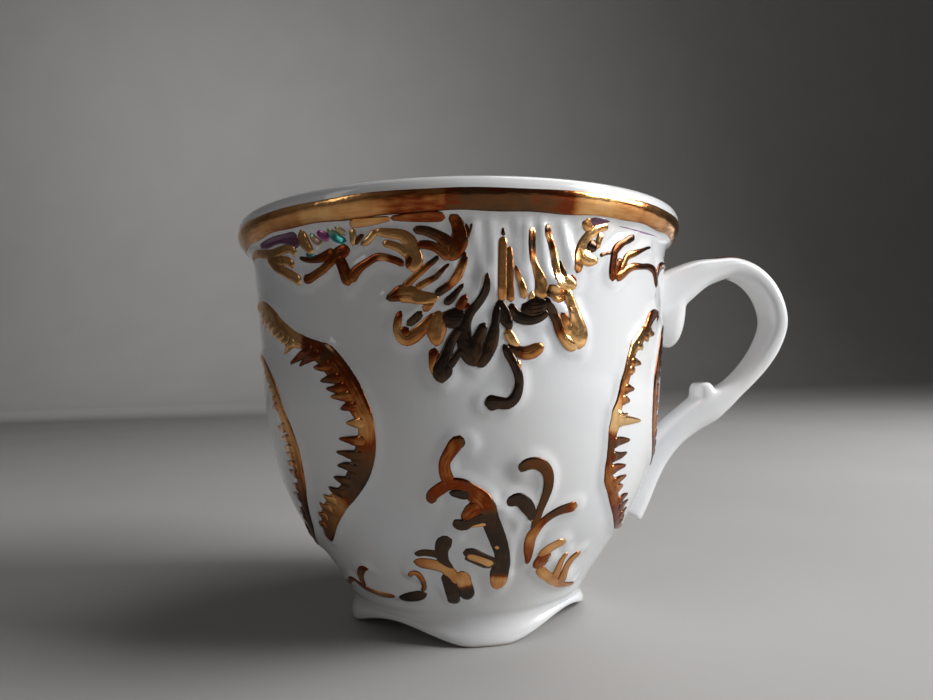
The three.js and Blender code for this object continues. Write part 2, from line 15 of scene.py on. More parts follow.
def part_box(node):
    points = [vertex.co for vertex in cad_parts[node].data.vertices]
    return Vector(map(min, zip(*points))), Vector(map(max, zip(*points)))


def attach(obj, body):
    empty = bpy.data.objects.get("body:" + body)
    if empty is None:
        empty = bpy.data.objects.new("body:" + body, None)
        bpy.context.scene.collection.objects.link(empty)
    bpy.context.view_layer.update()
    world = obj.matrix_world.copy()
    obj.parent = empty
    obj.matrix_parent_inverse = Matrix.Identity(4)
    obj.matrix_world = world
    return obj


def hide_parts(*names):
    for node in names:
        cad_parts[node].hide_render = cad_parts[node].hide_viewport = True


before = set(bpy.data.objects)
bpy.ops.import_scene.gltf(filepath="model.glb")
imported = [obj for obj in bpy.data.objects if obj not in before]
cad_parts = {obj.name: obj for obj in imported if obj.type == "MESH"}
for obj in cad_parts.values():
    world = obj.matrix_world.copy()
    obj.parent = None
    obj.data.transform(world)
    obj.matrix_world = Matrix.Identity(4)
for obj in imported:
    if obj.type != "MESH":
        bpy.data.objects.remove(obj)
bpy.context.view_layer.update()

cup_low, cup_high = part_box("cup_body")

DRAWN_HEIGHT = 70
MM = cup_high.z / DRAWN_HEIGHT
AXIS_X = (cup_low.x + cup_high.x) / 2
AXIS_Y = (cup_low.y + cup_high.y) / 2
HALF_TURN = 180
QUARTER_TURN = 90

# ---------- smooth lines ----------


def smooth(points, count):
    """Catmull-Rom curve: on each span a cubic through its two ends, whose slope at a point is half
    the step between that point's neighbours. Returns count places at equal shares."""
    p = np.asarray(points, float)
    p = np.vstack([2 * p[0] - p[1], p, 2 * p[-1] - p[-2]])
    share = np.linspace(0, len(p) - 3, count)
    span = np.clip(share.astype(int), 0, len(p) - 4)
    t = (share - span)[:, None]
    a, b, c, d = p[span], p[span + 1], p[span + 2], p[span + 3]
    curve = 2 * b + (c - a) * t + (2 * a - 5 * b + 4 * c - d) * t**2
    return (curve + (3 * b - a - 3 * c + d) * t**3) / 2


def evenly(curve, length, count):
    """The curve again at count places, equally far apart by the running length."""
    wanted = np.linspace(0, length[-1], count)
    return np.stack([np.interp(wanted, length, column) for column in curve.T], 1)


def ramp(value, low, high):
    """0 below low, 1 above high, and a smooth cubic between."""
    t = np.clip((value - low) / (high - low), 0, 1)
    return t * t * (3 - 2 * t)


# ---------- the wall of the cup ----------

# Outside of the bowl from the lip to the neck of the foot: (depth, radius).
WALL_LINE = [
    (1.4, 40), (3, 39.9), (4.6, 38.8), (5.5, 37.9), (7.5, 37.45), (14, 36.93), (22, 36.42),
    (32, 35.85), (42, 34.07), (50, 31.05), (57, 26.5), (62, 23.1), (64, 21.9),
]
WALL_SAMPLES = 600
WALL = smooth(WALL_LINE, WALL_SAMPLES)
NECK_DEPTH = WALL_LINE[-1][0]
WALL_SLOPE = np.gradient(WALL[:, 1], WALL[:, 0])
WALL_THICKNESS = 2.2


def wall_radius(depth):
    return np.interp(depth, WALL[:, 0], WALL[:, 1])


def wall_slope(depth):
    return np.interp(depth, WALL[:, 0], WALL_SLOPE)


def per_degree(depth):
    """Millimetres round the wall for one degree."""
    return wall_radius(depth) * math.pi / 180


def per_depth(depth):
    """Millimetres down the wall for one millimetre of depth."""
    return np.hypot(1, wall_slope(depth))


# ---------- ornament, drawn on the front half ----------

# Brush strokes by motif: each stroke is a list of (angle, depth, width, tone). Tone runs from 0, bright
# gold, through 0.5, red-brown, to 1, nearly black. Tone is mostly painted reflection: bright gold where the
# gold mirrored light, dark where it mirrored dark surroundings; the rest is the gold's own brown where it
# lies thin.
GILDING = {
    "scroll_far_left": [
        [(-76, 6.4, 1, .3), (-70, 6.3, 1.1, .3), (-64, 6.9, 1.2, .25), (-59, 7.4, 1.3, .2),
         (-52, 7.2, 1.1, .2), (-49.4, 7.7, 1, .1), (-49.7, 8.7, .6, 0)],
        [(-61, 8, 1.1, .3), (-56.5, 8.6, 1.2, .25), (-52, 9.1, 1.1, .2), (-49.8, 10.1, .9, .3)],
        [(-62, 7.6, 1, .3), (-58, 9.4, 1.3, .25), (-54, 10.5, 1.3, .2), (-49.7, 11.8, 1.3, .15),
         (-47.6, 12.6, 1, 0)],
        [(-45.6, 5, 1.2, .25), (-45.7, 6.3, 1.9, .25), (-44.6, 7.5, 1.4, .2), (-42.9, 8.6, .8, .1)],
    ],
    "swag_left": [
        [(-47.8, 8.9, .4, .7), (-45, 9.4, .7, .65), (-41.5, 9.5, 1, .6), (-38.9, 9.2, 1.3, .55),
         (-36.6, 8.9, 1.5, .5)],
        [(-46.9, 12, 1.1, .55), (-45, 12.2, 1.2, .5), (-42.7, 11.7, 1.1, .45), (-40.3, 11.1, 1.1, .5),
         (-38.2, 10.2, 1.2, .55), (-36.6, 9.4, 1.6, .6), (-34.3, 8.9, 1.7, .55), (-32.6, 8.9, .9, .5)],
        [(-36.2, 9.2, 1.4, .55), (-35.2, 10.5, 1.5, .6), (-34.5, 11.7, 1.6, .55), (-33.8, 13, 1.7, .5),
         (-33.5, 13.8, 1.2, .55)],
        [(-33.2, 13.4, 1.3, .5), (-32.2, 12.3, 1.4, .5), (-30.5, 11.4, 1.1, .55), (-28.7, 10.8, .9, .6),
         (-26.6, 10.2, .9, .6), (-24.9, 10.2, .8, .25), (-23.3, 10.5, .8, .55), (-21.4, 11, .8, .6),
         (-20.4, 11.6, .7, .7)],
        [(-32.3, 5.3, .9, .25), (-29, 5.3, 1, .2), (-25.5, 5.2, .9, .25), (-22.5, 5.1, .6, .35)],
        [(-22.6, 5.1, .6, .5), (-18, 5.15, 1.2, .55), (-14, 5.2, 1.4, .55), (-11.2, 5.3, 1, .58)],
        [(-31.7, 5.8, .8, .15), (-31.7, 7, .8, .05), (-31.9, 8.3, .5, .2)],
        [(-31.3, 8.2, .4, .8), (-30.2, 7.3, .6, .65), (-29, 6.9, .4, .7)],
        [(-26.2, 6.4, .8, .15), (-27.2, 7.2, .8, .05), (-28.6, 7.9, .8, .1), (-30, 8.3, .4, .3)],
    ],
    "scroll_left": [
        [(-25, 8.2, .8, .25), (-22.5, 8.7, .9, .2), (-20.5, 9.4, 1, .2), (-19.2, 10.4, 1, .25)],
        [(-26.5, 6.6, .8, .1), (-23.5, 7, 1.1, .2), (-20.5, 7.4, 1.3, .2), (-18.9, 8.4, 1.7, .2),
         (-18.4, 9.8, 1.9, .25), (-18.1, 11.2, 2, .25), (-18.7, 12.5, 1.2, .15)],
        [(-19.1, 9.9, .5, .6), (-19, 10.9, 1, .65), (-19.7, 12, .5, .6)],
        [(-18, 7.8, .3, .7), (-17.5, 8.8, .5, .68), (-17, 9.9, .3, .62)],
        [(-18.1, 6.7, .8, .68), (-15.4, 7, 1.1, .7), (-13, 7.7, 1.2, .7), (-11.2, 8.5, 1.4, .68),
         (-10, 9.6, 1.2, .7)],
        [(-17.5, 8.8, .8, .62), (-15.2, 8.9, 1, .6), (-13.4, 9.3, 1, .5), (-11.7, 10, 1.3, .45),
         (-10.4, 11, 1.2, .45)],
        [(-10.1, 5, 1, .6), (-8.9, 6, 1.4, .62), (-8.4, 7.3, 1.6, .6), (-8.6, 8.7, 2, .6),
         (-9.5, 10, 1.7, .5), (-10.4, 11.2, .9, .5)],
        [(-7.6, 8.4, .3, .2), (-7.8, 9.6, .3, .2)],
        [(-7, 6.1, .2, .7), (-6.7, 7.1, .3, .7), (-6.5, 8.1, .4, .7)],
        [(-5.8, 6.1, .2, .7), (-6.1, 6.9, .2, .7), (-6.4, 7.7, .2, .7)],
    ],
    "palmette_leaf_left": [
        [(-20.8, 14.6, .9, .35), (-18.1, 13.2, .8, .4), (-15.4, 11.8, .7, .5), (-13.9, 11.1, .6, .8),
         (-12.8, 10.4, .4, .85)],
        [(-18.1, 14.8, .8, .35), (-15.5, 13.9, .7, .4), (-13.6, 13.3, .6, .8), (-11.5, 12, .4, .6),
         (-10.5, 11.5, .2, .6)],
        [(-24.8, 16, .5, .85), (-23, 15.7, 1.3, .7), (-21.8, 15.4, 1.8, .5), (-21, 15.4, 2.1, .3),
         (-19.3, 15.5, 2, .27), (-17.2, 16, 1.6, .28), (-14.8, 16.2, 1.3, .28), (-13.2, 16, .7, .35)],
        [(-13.9, 15.8, .8, .85), (-13, 15.4, .9, .9), (-11.5, 14.8, .9, .7), (-10.1, 14.1, .9, .35),
         (-9, 13.2, 1, .35), (-8.1, 12, .9, .4), (-7.5, 10.8, .7, .75), (-7.5, 9.9, .4, .8)],
        [(-12.1, 17, .9, .85), (-10.6, 16.4, .9, .9), (-9.2, 15.4, .6, .85), (-7.7, 14.3, .3, .85)],
    ],
    "palmette_leaf_low": [
        [(-16.6, 17.9, .9, .42), (-15.3, 17.2, .8, .42), (-14, 16.7, .4, .4)],
        [(-21.4, 17.7, .5, .6), (-22.1, 18.8, .9, .55), (-22.5, 20.2, 1, .2), (-21.7, 21.3, 1.3, .25),
         (-20.5, 21.8, 1.4, .4), (-18.8, 21.3, 1.6, .42), (-17, 20.4, 1.4, .4), (-15.2, 19.3, 1.2, .4),
         (-13.6, 18.4, 1, .4)],
        [(-21, 19.9, .8, .6), (-20.6, 20.8, 1.2, .62), (-20.2, 21.4, .6, .6)],
        [(-20.3, 19.8, .7, .9), (-18.9, 19.2, .9, .92), (-17.6, 18.5, .9, .9), (-16.8, 17.9, .6, .6)],
        [(-13.1, 17.9, .9, .35), (-13.5, 19.2, 1.9, .3), (-13.9, 20.6, 2.3, .3), (-13.9, 21.6, 1.7, .3),
         (-13.9, 22.8, .9, .4)],
        [(-14.3, 23, .8, .55), (-14.5, 23.6, 1.2, .62), (-14.8, 24.4, .9, .5), (-15, 25.7, .6, .35),
         (-14.6, 26.9, .3, .35)],
        [(-9.2, 18, 1, .6), (-8.1, 16.8, 1, .55), (-7.4, 15.8, .5, .5)],
        [(-7.4, 18, .8, .6), (-6.8, 17, .5, .6)],
        [(-12.4, 18.2, 1, .9), (-11.4, 18.7, 1.9, .95), (-10, 19, 2.4, 1), (-8.4, 19.1, 1.9, .95),
         (-7.4, 19.4, 1, .95)],
        [(-10.8, 19.6, 1.2, .95), (-11.2, 20.4, .8, .9)],
        [(-2.8, 12.9, .3, .7), (-3, 14.8, .8, .95), (-3.7, 16, .9, .95), (-5, 17.2, .9, .95),
         (-6.5, 18.2, 1.1, .95), (-7.4, 19.3, 1.2, 1), (-7.8, 20.5, 1.4, 1), (-7.8, 21.8, 1.8, 1),
         (-7.2, 23.2, 2.2, .95), (-6.3, 24.5, 2, .9), (-5.5, 25.7, 1, .9)],
        [(-3.5, 19.7, .8, .95), (-4.3, 21, 1.2, .95), (-5.2, 22.4, 1.4, .9), (-5.5, 23.8, 1.8, .85),
         (-5.5, 25.3, 1.2, .9)],
        [(-.6, 17.2, .6, .95), (-.9, 18.5, .9, .95), (-1.2, 19.8, .9, .95), (-1.6, 21.2, 1.3, .95),
         (-2.2, 22.6, 1.5, .9), (-3.1, 24, 1.4, .9), (-4.2, 25.1, 1.2, .9), (-5.2, 25.8, .8, .9)],
        [(-8.1, 20.2, 1.1, .95), (-9.4, 21, 1.1, .95), (-10.6, 22, 1.1, .95), (-11.5, 23.3, 1.2, .95),
         (-12.3, 24.7, 1.6, .95), (-12.8, 26, 2.3, .95), (-13, 27.1, 1.9, .9), (-12.9, 27.9, .9, .9)],
        [(-8.1, 23, .8, .95), (-9.4, 24, .8, .95), (-10.6, 25, .9, .95), (-11.7, 25.8, 1, .95)],
    ],
    "palmette_stem": [
        [(2.1, 9.2, .4, .4), (2.1, 11, .75, .38), (2.2, 14, .8, .36), (2.3, 17, .8, .4)],
        [(.7, 7.9, .7, .35), (.65, 9, 1, .28), (.55, 12, 1.05, .26), (.45, 15, 1.1, .28),
         (.4, 16.9, .9, .3)],
        [(.7, 6.7, .15, .9), (.75, 7.3, .35, .95), (.75, 7.9, .5, .95)],
        [(-.2, 16.5, .8, .95), (.2, 17.8, 1.5, 1), (1, 19, 1.6, 1), (1.7, 20.1, 1.1, .95),
         (2.2, 20.8, .5, .9)],
        [(1.1, 20.6, .7, .2), (2, 21.6, 1.1, .12), (3, 22.6, 1, .1), (4.2, 23.1, .5, .1)],
        [(1.5, 22.8, .8, .9), (2.4, 23.4, 1.1, .9), (3.6, 23.7, 1.2, .8), (5.3, 24, 1.5, .42),
         (7.2, 23.8, 1.6, .34), (8.7, 23.2, 1.3, .36), (9.3, 22.6, .6, .42)],
        [(.6, 22.7, .5, .95), (1.5, 23.9, 1, .95), (2.6, 25.2, 1, .9), (3.7, 26.9, 1, .95),
         (3.9, 28.4, 1, .95), (3.1, 30, 1.2, .95), (1.4, 30.9, 1.3, .95), (-.8, 30.8, 1.4, .95),
         (-2.6, 30.8, 1.9, .95), (-3.8, 30.9, 1.4, .9)],
        # Painted highlight: a bright streak on the right of the tail, where the gold caught the light.
        [(3.2, 24.8, .5, .1), (3.7, 25.6, .7, .12), (3.9, 26.4, .4, .2)],
    ],
    "palmette_cup": [
        [(7, 6.4, .4, .35), (7, 7.3, .8, .25), (7, 9, .9, .85), (7.2, 10.8, .8, .3), (7.8, 12, .9, .25),
         (8.7, 13.4, 1.2, .22), (9.2, 14.9, 1.7, .22), (9.2, 16.6, 1.8, .2)],
        [(3.2, 11.8, .2, .4), (3.7, 12.9, .5, .35), (4.4, 14.1, .7, .28), (5, 15.4, .8, .25),
         (5.4, 16.5, .8, .3)],
        [(6.9, 15.4, .3, .2), (7, 16.2, .8, .15), (7.1, 16.8, .8, .15)],
        [(2.3, 17.1, .8, .9), (2.8, 18.1, 1.1, .95), (3.8, 18.9, 1.4, 1), (5.2, 19.2, 1.4, 1),
         (7, 19.3, 1.3, 1), (9, 18.9, 1.2, .95), (11, 18.2, .7, .9)],
        [(4.8, 17.2, .7, .95), (5.8, 17.7, 2.3, .95), (7.4, 17.8, 2.9, .88), (9, 17.6, 2.6, 1),
         (10.2, 17.4, 1.5, .95), (10.9, 17.7, .6, .9)],
    ],
    "palmette_leaf_right": [
        [(10.65, 5.9, .5, .8), (10.6, 6.8, .85, .75), (10.9, 7.9, .9, .05), (11.5, 8.8, .85, .75),
         (12, 9.9, .9, .2), (12.4, 11.2, .95, .15), (13, 12.7, 1.1, .1), (13.9, 13.8, 1.5, .05),
         (15.6, 14.2, 2, .05), (17.3, 14.4, 1.2, .12), (18.2, 14.3, .4, .2)],
        [(13.5, 11, .3, .9), (13.9, 12, .7, .85), (14.5, 12.9, .8, .85), (15.3, 13.5, .3, .9)],
        [(16.4, 13.1, .4, .7), (17, 13.4, .5, .6), (17.9, 14, .3, .6)],
        [(11, 14.5, .5, .35), (11.9, 15.2, 1.3, .15), (13, 15.8, 1.9, .2), (14.3, 15.8, 1.9, .5),
         (15.2, 15.6, 1.5, .45)],
        [(11.3, 14.9, .4, .85), (11, 15.7, .8, .85), (11.1, 16.2, .4, .8)],
        [(10.2, 16.2, .5, .9), (10.9, 17.3, .9, .92), (12, 18.5, 1.1, .9), (13, 19.6, 1.2, .7),
         (13.7, 20.8, 1.3, .6), (14.8, 22, 1.3, .15), (16.5, 22.9, 1.6, .12), (18.5, 23.3, 1, .1)],
        [(13.9, 18.4, .4, .35), (14.7, 19.1, .8, .5), (15.4, 20, 1.2, .3), (15.9, 21, 1.6, .2),
         (16.4, 22, 1.9, .12)],
        [(15.7, 15, 1.2, .08), (15.9, 16, 1.2, .1), (16.7, 17.3, 1.3, .1), (17.4, 18.5, 1.5, .1),
         (18, 19.7, 2, .12), (18.4, 21, 2.7, .12), (18.7, 22.2, 2.6, .1), (19, 23.1, 1.7, .1),
         (19, 23.6, .6, .1)],
        # Painted highlight: a pale streak across the leaf.
        [(13.8, 19, .3, 0), (14.2, 20, .5, 0), (14.6, 21.3, .4, 0)],
    ],
    "scroll_right": [
        [(26.7, 5.6, .9, .25), (23.6, 6.2, 1.1, .15), (21.3, 7.2, 1.3, .1), (19.6, 8.5, 1.4, .12),
         (18.6, 10, 1.5, .2), (18.4, 11.5, 1.4, .3), (18.2, 12.8, 1, .35)],
        [(19.2, 5.2, 1, .2), (20.6, 5.9, 1.5, .25), (21.4, 6.8, 1.2, .15)],
        [(24.9, 6.6, 1, .05), (24, 7.8, .9, .1), (23.5, 9.2, .6, .2)],
        [(19.4, 9.2, 1.2, .1), (20, 10.2, 2.1, .08), (21.5, 10.7, 1.7, .1), (22.9, 10.7, 1.1, .15),
         (23.8, 10.4, 1.1, .55)],
        [(23.7, 6.6, .35, .6), (22, 7.1, .4, .65), (20.2, 8.2, .35, .6)],
        [(21.3, 9.7, .9, .9), (21.9, 8.9, 1.7, .95), (22.7, 7.9, .9, .95)],
        [(17.7, 10.4, .3, .6), (17.9, 11.6, .3, .7), (18, 12.8, .4, .6)],
    ],
    "swag_right": [
        [(24.3, 10.1, .5, .7), (26, 9.7, .4, .8), (28.2, 9.4, .4, .8)],
        [(36.5, 6.5, .7, .85), (34.2, 7.1, 1, .8), (32.5, 7.6, .8, .7), (30.8, 8.2, 1.1, .7),
         (29.3, 9.1, 1.2, .65), (28.9, 10.4, 1.2, .65), (28.7, 11.7, 1.3, .6), (28.9, 12.9, 1.4, .5),
         (29.8, 13.2, 1.2, .5)],
        [(31.9, 10.2, .8, .75), (30.6, 11, 1.1, .75), (30, 12.2, 1.3, .5), (29.6, 13, 1.2, .5)],
        [(31.3, 12.2, 1.3, .5), (32.3, 11.2, 1, .35), (33.3, 10, .9, .35), (34.8, 9.4, .9, .4),
         (37, 9, .8, .45), (39.9, 8.4, .5, .7), (42.8, 7.8, .35, .8), (45, 7.5, .25, .8)],
        [(29.6, 13, 1.3, .5), (31.9, 12.5, 1.2, .4), (34.2, 11.6, 1.1, .35), (37, 11, .9, .4),
         (40.5, 10.8, .7, .8), (44.2, 10.6, .8, .65), (47.4, 10.9, 1.1, .6), (49.1, 11.7, 1.4, .6),
         (50, 12.8, 1.3, .7), (50, 13.6, .7, .7)],
        [(49.7, 11.9, 1, .65), (52, 10.4, 1.2, .6), (54.3, 9.8, 1.1, .6), (57.1, 9.5, .9, .6),
         (60, 9.4, .7, .6)],
    ],
    "spray_stem": [
        [(-16.8, 44.9, 1.1, .6), (-16.5, 43.7, 1.4, .58), (-14.7, 42.8, 1.5, .56), (-12.1, 42, 1.5, .56),
         (-9.4, 42.2, 1.7, .56), (-7.1, 43.2, 2, .57), (-5, 44.3, 2.4, .56), (-3.6, 45.6, 2.4, .6),
         (-2.7, 47.1, 2.2, .9), (-1.5, 48.8, 2.2, 1), (.2, 51.1, 2.1, 1), (1.6, 53.2, 1.9, .95),
         (2, 55.1, 2.2, .95), (1.7, 56.4, 2.4, .9), (1.7, 57.4, 2.2, .35), (2, 58.5, 2.1, .3),
         (1.7, 59.8, 1.1, .3)],
        [(-8.3, 36.4, 2, .78), (-10, 36.2, 1.8, .62), (-11.5, 37.3, 1.5, .57), (-13, 38.8, 1.3, .56),
         (-13.1, 40.1, 1.4, .56), (-12.4, 41.5, 1.5, .56), (-11.2, 42.2, 1.4, .56)],
        [(-12.4, 43.2, .6, .95), (-8.9, 43.5, 1.3, .95), (-7, 43.6, .9, .9)],
        [(-4.4, 45.6, 2.2, .56), (-6.4, 45.8, 2.2, .56), (-8.3, 46.7, 1.5, .56), (-9.7, 47.2, .9, .6)],
        [(-11.4, 47.3, 1.1, .85), (-10.4, 48, 1.5, .95), (-8.9, 48.3, 1.3, .95), (-7.4, 47.8, 1.1, .9),
         (-4.7, 47.2, 1.3, .9), (-3, 46.8, 1.2, .9)],
        [(-9.6, 52.8, 1.4, .9), (-8.3, 52.8, 2.2, .9), (-5.5, 53.7, 2.2, .9), (-2, 54.7, 2.1, .9),
         (0, 55.3, 1.4, .9)],
        # Painted highlight: the bright line along the top of the hook.
        [(-7.7, 48.4, .4, .25), (-5.3, 48.2, .5, .15), (-2.4, 48.1, .3, .2)],
        [(-8.8, 52.9, .9, .25), (-6.8, 53.4, 1.4, .25), (-4.2, 54, 1.4, .2), (-1.8, 54.7, 1.4, .2),
         (-.5, 55.1, .8, .3)],
        # Painted glint: a short pale streak on the stem.
        [(-.9, 51.7, .4, .2), (-.2, 51.9, .5, .2), (.5, 52.3, .4, .2)],
    ],
    "spray_leaf_right": [
        [(4.6, 40.7, 1, .85), (5.5, 39.8, 1.4, .8), (7.9, 39.5, 1.5, .68), (10.2, 40.1, 1.5, .66),
         (11.7, 41.4, 1.4, .68), (12, 43.2, 1.3, .78), (11.4, 44.9, 1.1, .78), (10.5, 46.6, 1, .75),
         (9.9, 48.3, 1, .7), (9.6, 49.6, .8, .65)],
        [(1.7, 45.4, 1.1, .9), (3.2, 44.8, 1.5, .95), (5.2, 44.9, 1.7, .95), (7.1, 46, 1.7, .95),
         (8.3, 47.2, 1.2, .9), (8.5, 48.2, .5, .9)],
        [(8.9, 46.8, .25, .1), (8.7, 48.4, .3, .1)],
        [(21.8, 46.7, 1.3, .3), (19.9, 46.7, 1.4, .55), (16.4, 47, 1.2, .72), (13.7, 47.7, 1.1, .7),
         (11.7, 48.6, 1.1, .55), (10.2, 49.8, 1.3, .38), (9.3, 51.1, 1.4, .38), (9.6, 52.8, 1.3, .5),
         (10.2, 54.3, .9, .6), (10.5, 55.6, .4, .6)],
    ],
    "scroll_low_right": [
        [(17.8, 54.2, 1.2, .5), (15.8, 54.4, 1.8, .5), (14.9, 55.5, 1.9, .5), (15.5, 56.8, 1.4, .5)],
        [(21.9, 52.8, .6, .3), (19.9, 52.5, 1.3, .2), (17.3, 52.9, 1.5, .2), (15.2, 53.7, 1.5, .3),
         (14.2, 54.6, 1, .4)],
        [(15.4, 56.4, 1.1, .4), (16.7, 57.2, 1.4, .3), (19, 58.1, 1.5, .25), (21.7, 58.9, 1.5, .28),
         (25, 59.9, 1.4, .3), (29, 60.8, 1.2, .32), (34, 61.4, .9, .35), (40, 62, .7, .4)],
        [(31.5, 55.2, 1.1, .4), (28.7, 56, 1.4, .35), (27.4, 58, 1.5, .3), (28.2, 59.8, 1.4, .35),
         (29.5, 61, 1, .4)],
        [(24.6, 54.6, .7, .3), (23.3, 56, 1.1, .28), (23.4, 57.8, 1.1, .3), (24.4, 59.4, .8, .35)],
    ],
    "spray_leaf_left": [
        [(-23.8, 53.2, .6, .85), (-20.8, 52.7, 1.1, .88), (-17, 53, 1.2, .9), (-15.4, 54, 1, .92)],
        [(-24.8, 54.4, 1.1, .42), (-21.7, 54.6, 1.9, .36), (-18.2, 54.9, 2, .3), (-15.3, 55.5, 1.9, .25),
         (-13.2, 56.9, 1.6, .25), (-12.2, 58.4, 1, .3)],
        [(-12.4, 50.4, 1.7, .95), (-14.4, 50.9, 2, .98), (-15.6, 52.4, 1.6, .95), (-15.5, 54, 1.4, .95),
         (-14, 55, .8, .92), (-13, 55.8, .4, .9)],
        [(-16.2, 56.6, .9, .9), (-15, 57.8, 1.4, .95), (-14.1, 59.2, 1.7, .98), (-13.8, 61, 1.6, .95),
         (-14.1, 62.4, 1.5, .95)],
        [(-10.3, 56, 1.3, .35), (-10.1, 57.2, 1.9, .22), (-9.7, 58.4, 1.9, .25), (-9.2, 59.3, 1.9, .9),
         (-8.9, 60.4, 1.9, .98), (-8.6, 61.5, 1, .95)],
        [(-27.6, 57.1, .5, .5), (-26.4, 56.3, .6, .4), (-24.6, 56.3, .7, .4), (-23.4, 57.4, .7, .45),
         (-23.7, 59, .6, .45), (-25, 60, .5, .5)],
    ],
    "ground_line_left": [
        [(-72, 62, .7, .7), (-66.5, 61.5, .8, .65), (-61.3, 60.4, .9, .6), (-57.5, 60.2, .8, .5),
         (-53.7, 61.2, 1, .4), (-49.8, 61.6, 1.1, .3), (-45.5, 61.9, 1.2, .15), (-41.3, 61.8, .9, .25),
         (-37.9, 61.6, .6, .5)],
        [(-36.5, 62, .6, .85), (-32.8, 61.7, 1.6, .9), (-28.9, 61.2, 1.9, .92), (-25.5, 60.6, 1.5, .9),
         (-23.4, 60.4, .5, .85)],
        [(-53, 60.9, .7, .4), (-50.7, 58.7, 1, .3), (-48.5, 57.6, 1.1, .4), (-46, 56.9, .9, .6),
         (-43.8, 56.9, .4, .6)],
    ],
}

ENAMEL = {
    "enamel_left": [
        [(-66, 5.5, .8, .3), (-61, 5.7, 1.5, .2), (-57, 5.6, 1.4, .1), (-53, 5.7, 1.6, .1),
         (-49.8, 6.1, 2.4, .1), (-47.8, 6.3, 2.6, .1), (-46.9, 6, 1.5, .2)],
    ],
    "enamel_right": [
        # From 27 degrees on, this stroke thins to a violet line that is painted shade along the lower edge
        # of the gold band.
        [(20.6, 5.4, .9, .1), (22.6, 5.3, 1.3, .1), (24.6, 5.2, 1.1, .1), (27, 5.2, .5, .5),
         (32, 5.4, .4, .8), (40, 5.6, .4, .9), (50, 5.4, .3, .9)],
    ],
}

# Spots of iridescent lustre between the enamel and the swag, and one on the side crescent.
LUSTRE = [
    [(-43.2, 5.6, .8, .1), (-42.4, 6.6, 1.1, .45), (-41.2, 7.2, 1.2, .5), (-40.2, 7, .6, .5)],
    [(-41.6, 5.7, .8, .9), (-39.6, 6.4, 1.5, .85), (-38.2, 7.1, 1.1, .9)],
    [(-38.4, 5.5, .8, .3), (-36.8, 6.5, 1.5, .12), (-35.2, 7.2, 1.2, .1), (-33.4, 7.6, .8, .2)],
    [(-45.4, 8.5, .5, .1), (-43.8, 9, .8, .1), (-42, 9.2, .5, .15)],
    [(-36.3, 5.4, .7, .4), (-34.6, 6.1, 1, .35), (-33.2, 6.6, .6, .3)],
    [(-60.4, 38.2, .7, .8), (-59.4, 38.4, .9, .7), (-58.4, 38.6, 1, .15), (-57.4, 38.8, .6, .1)],
]
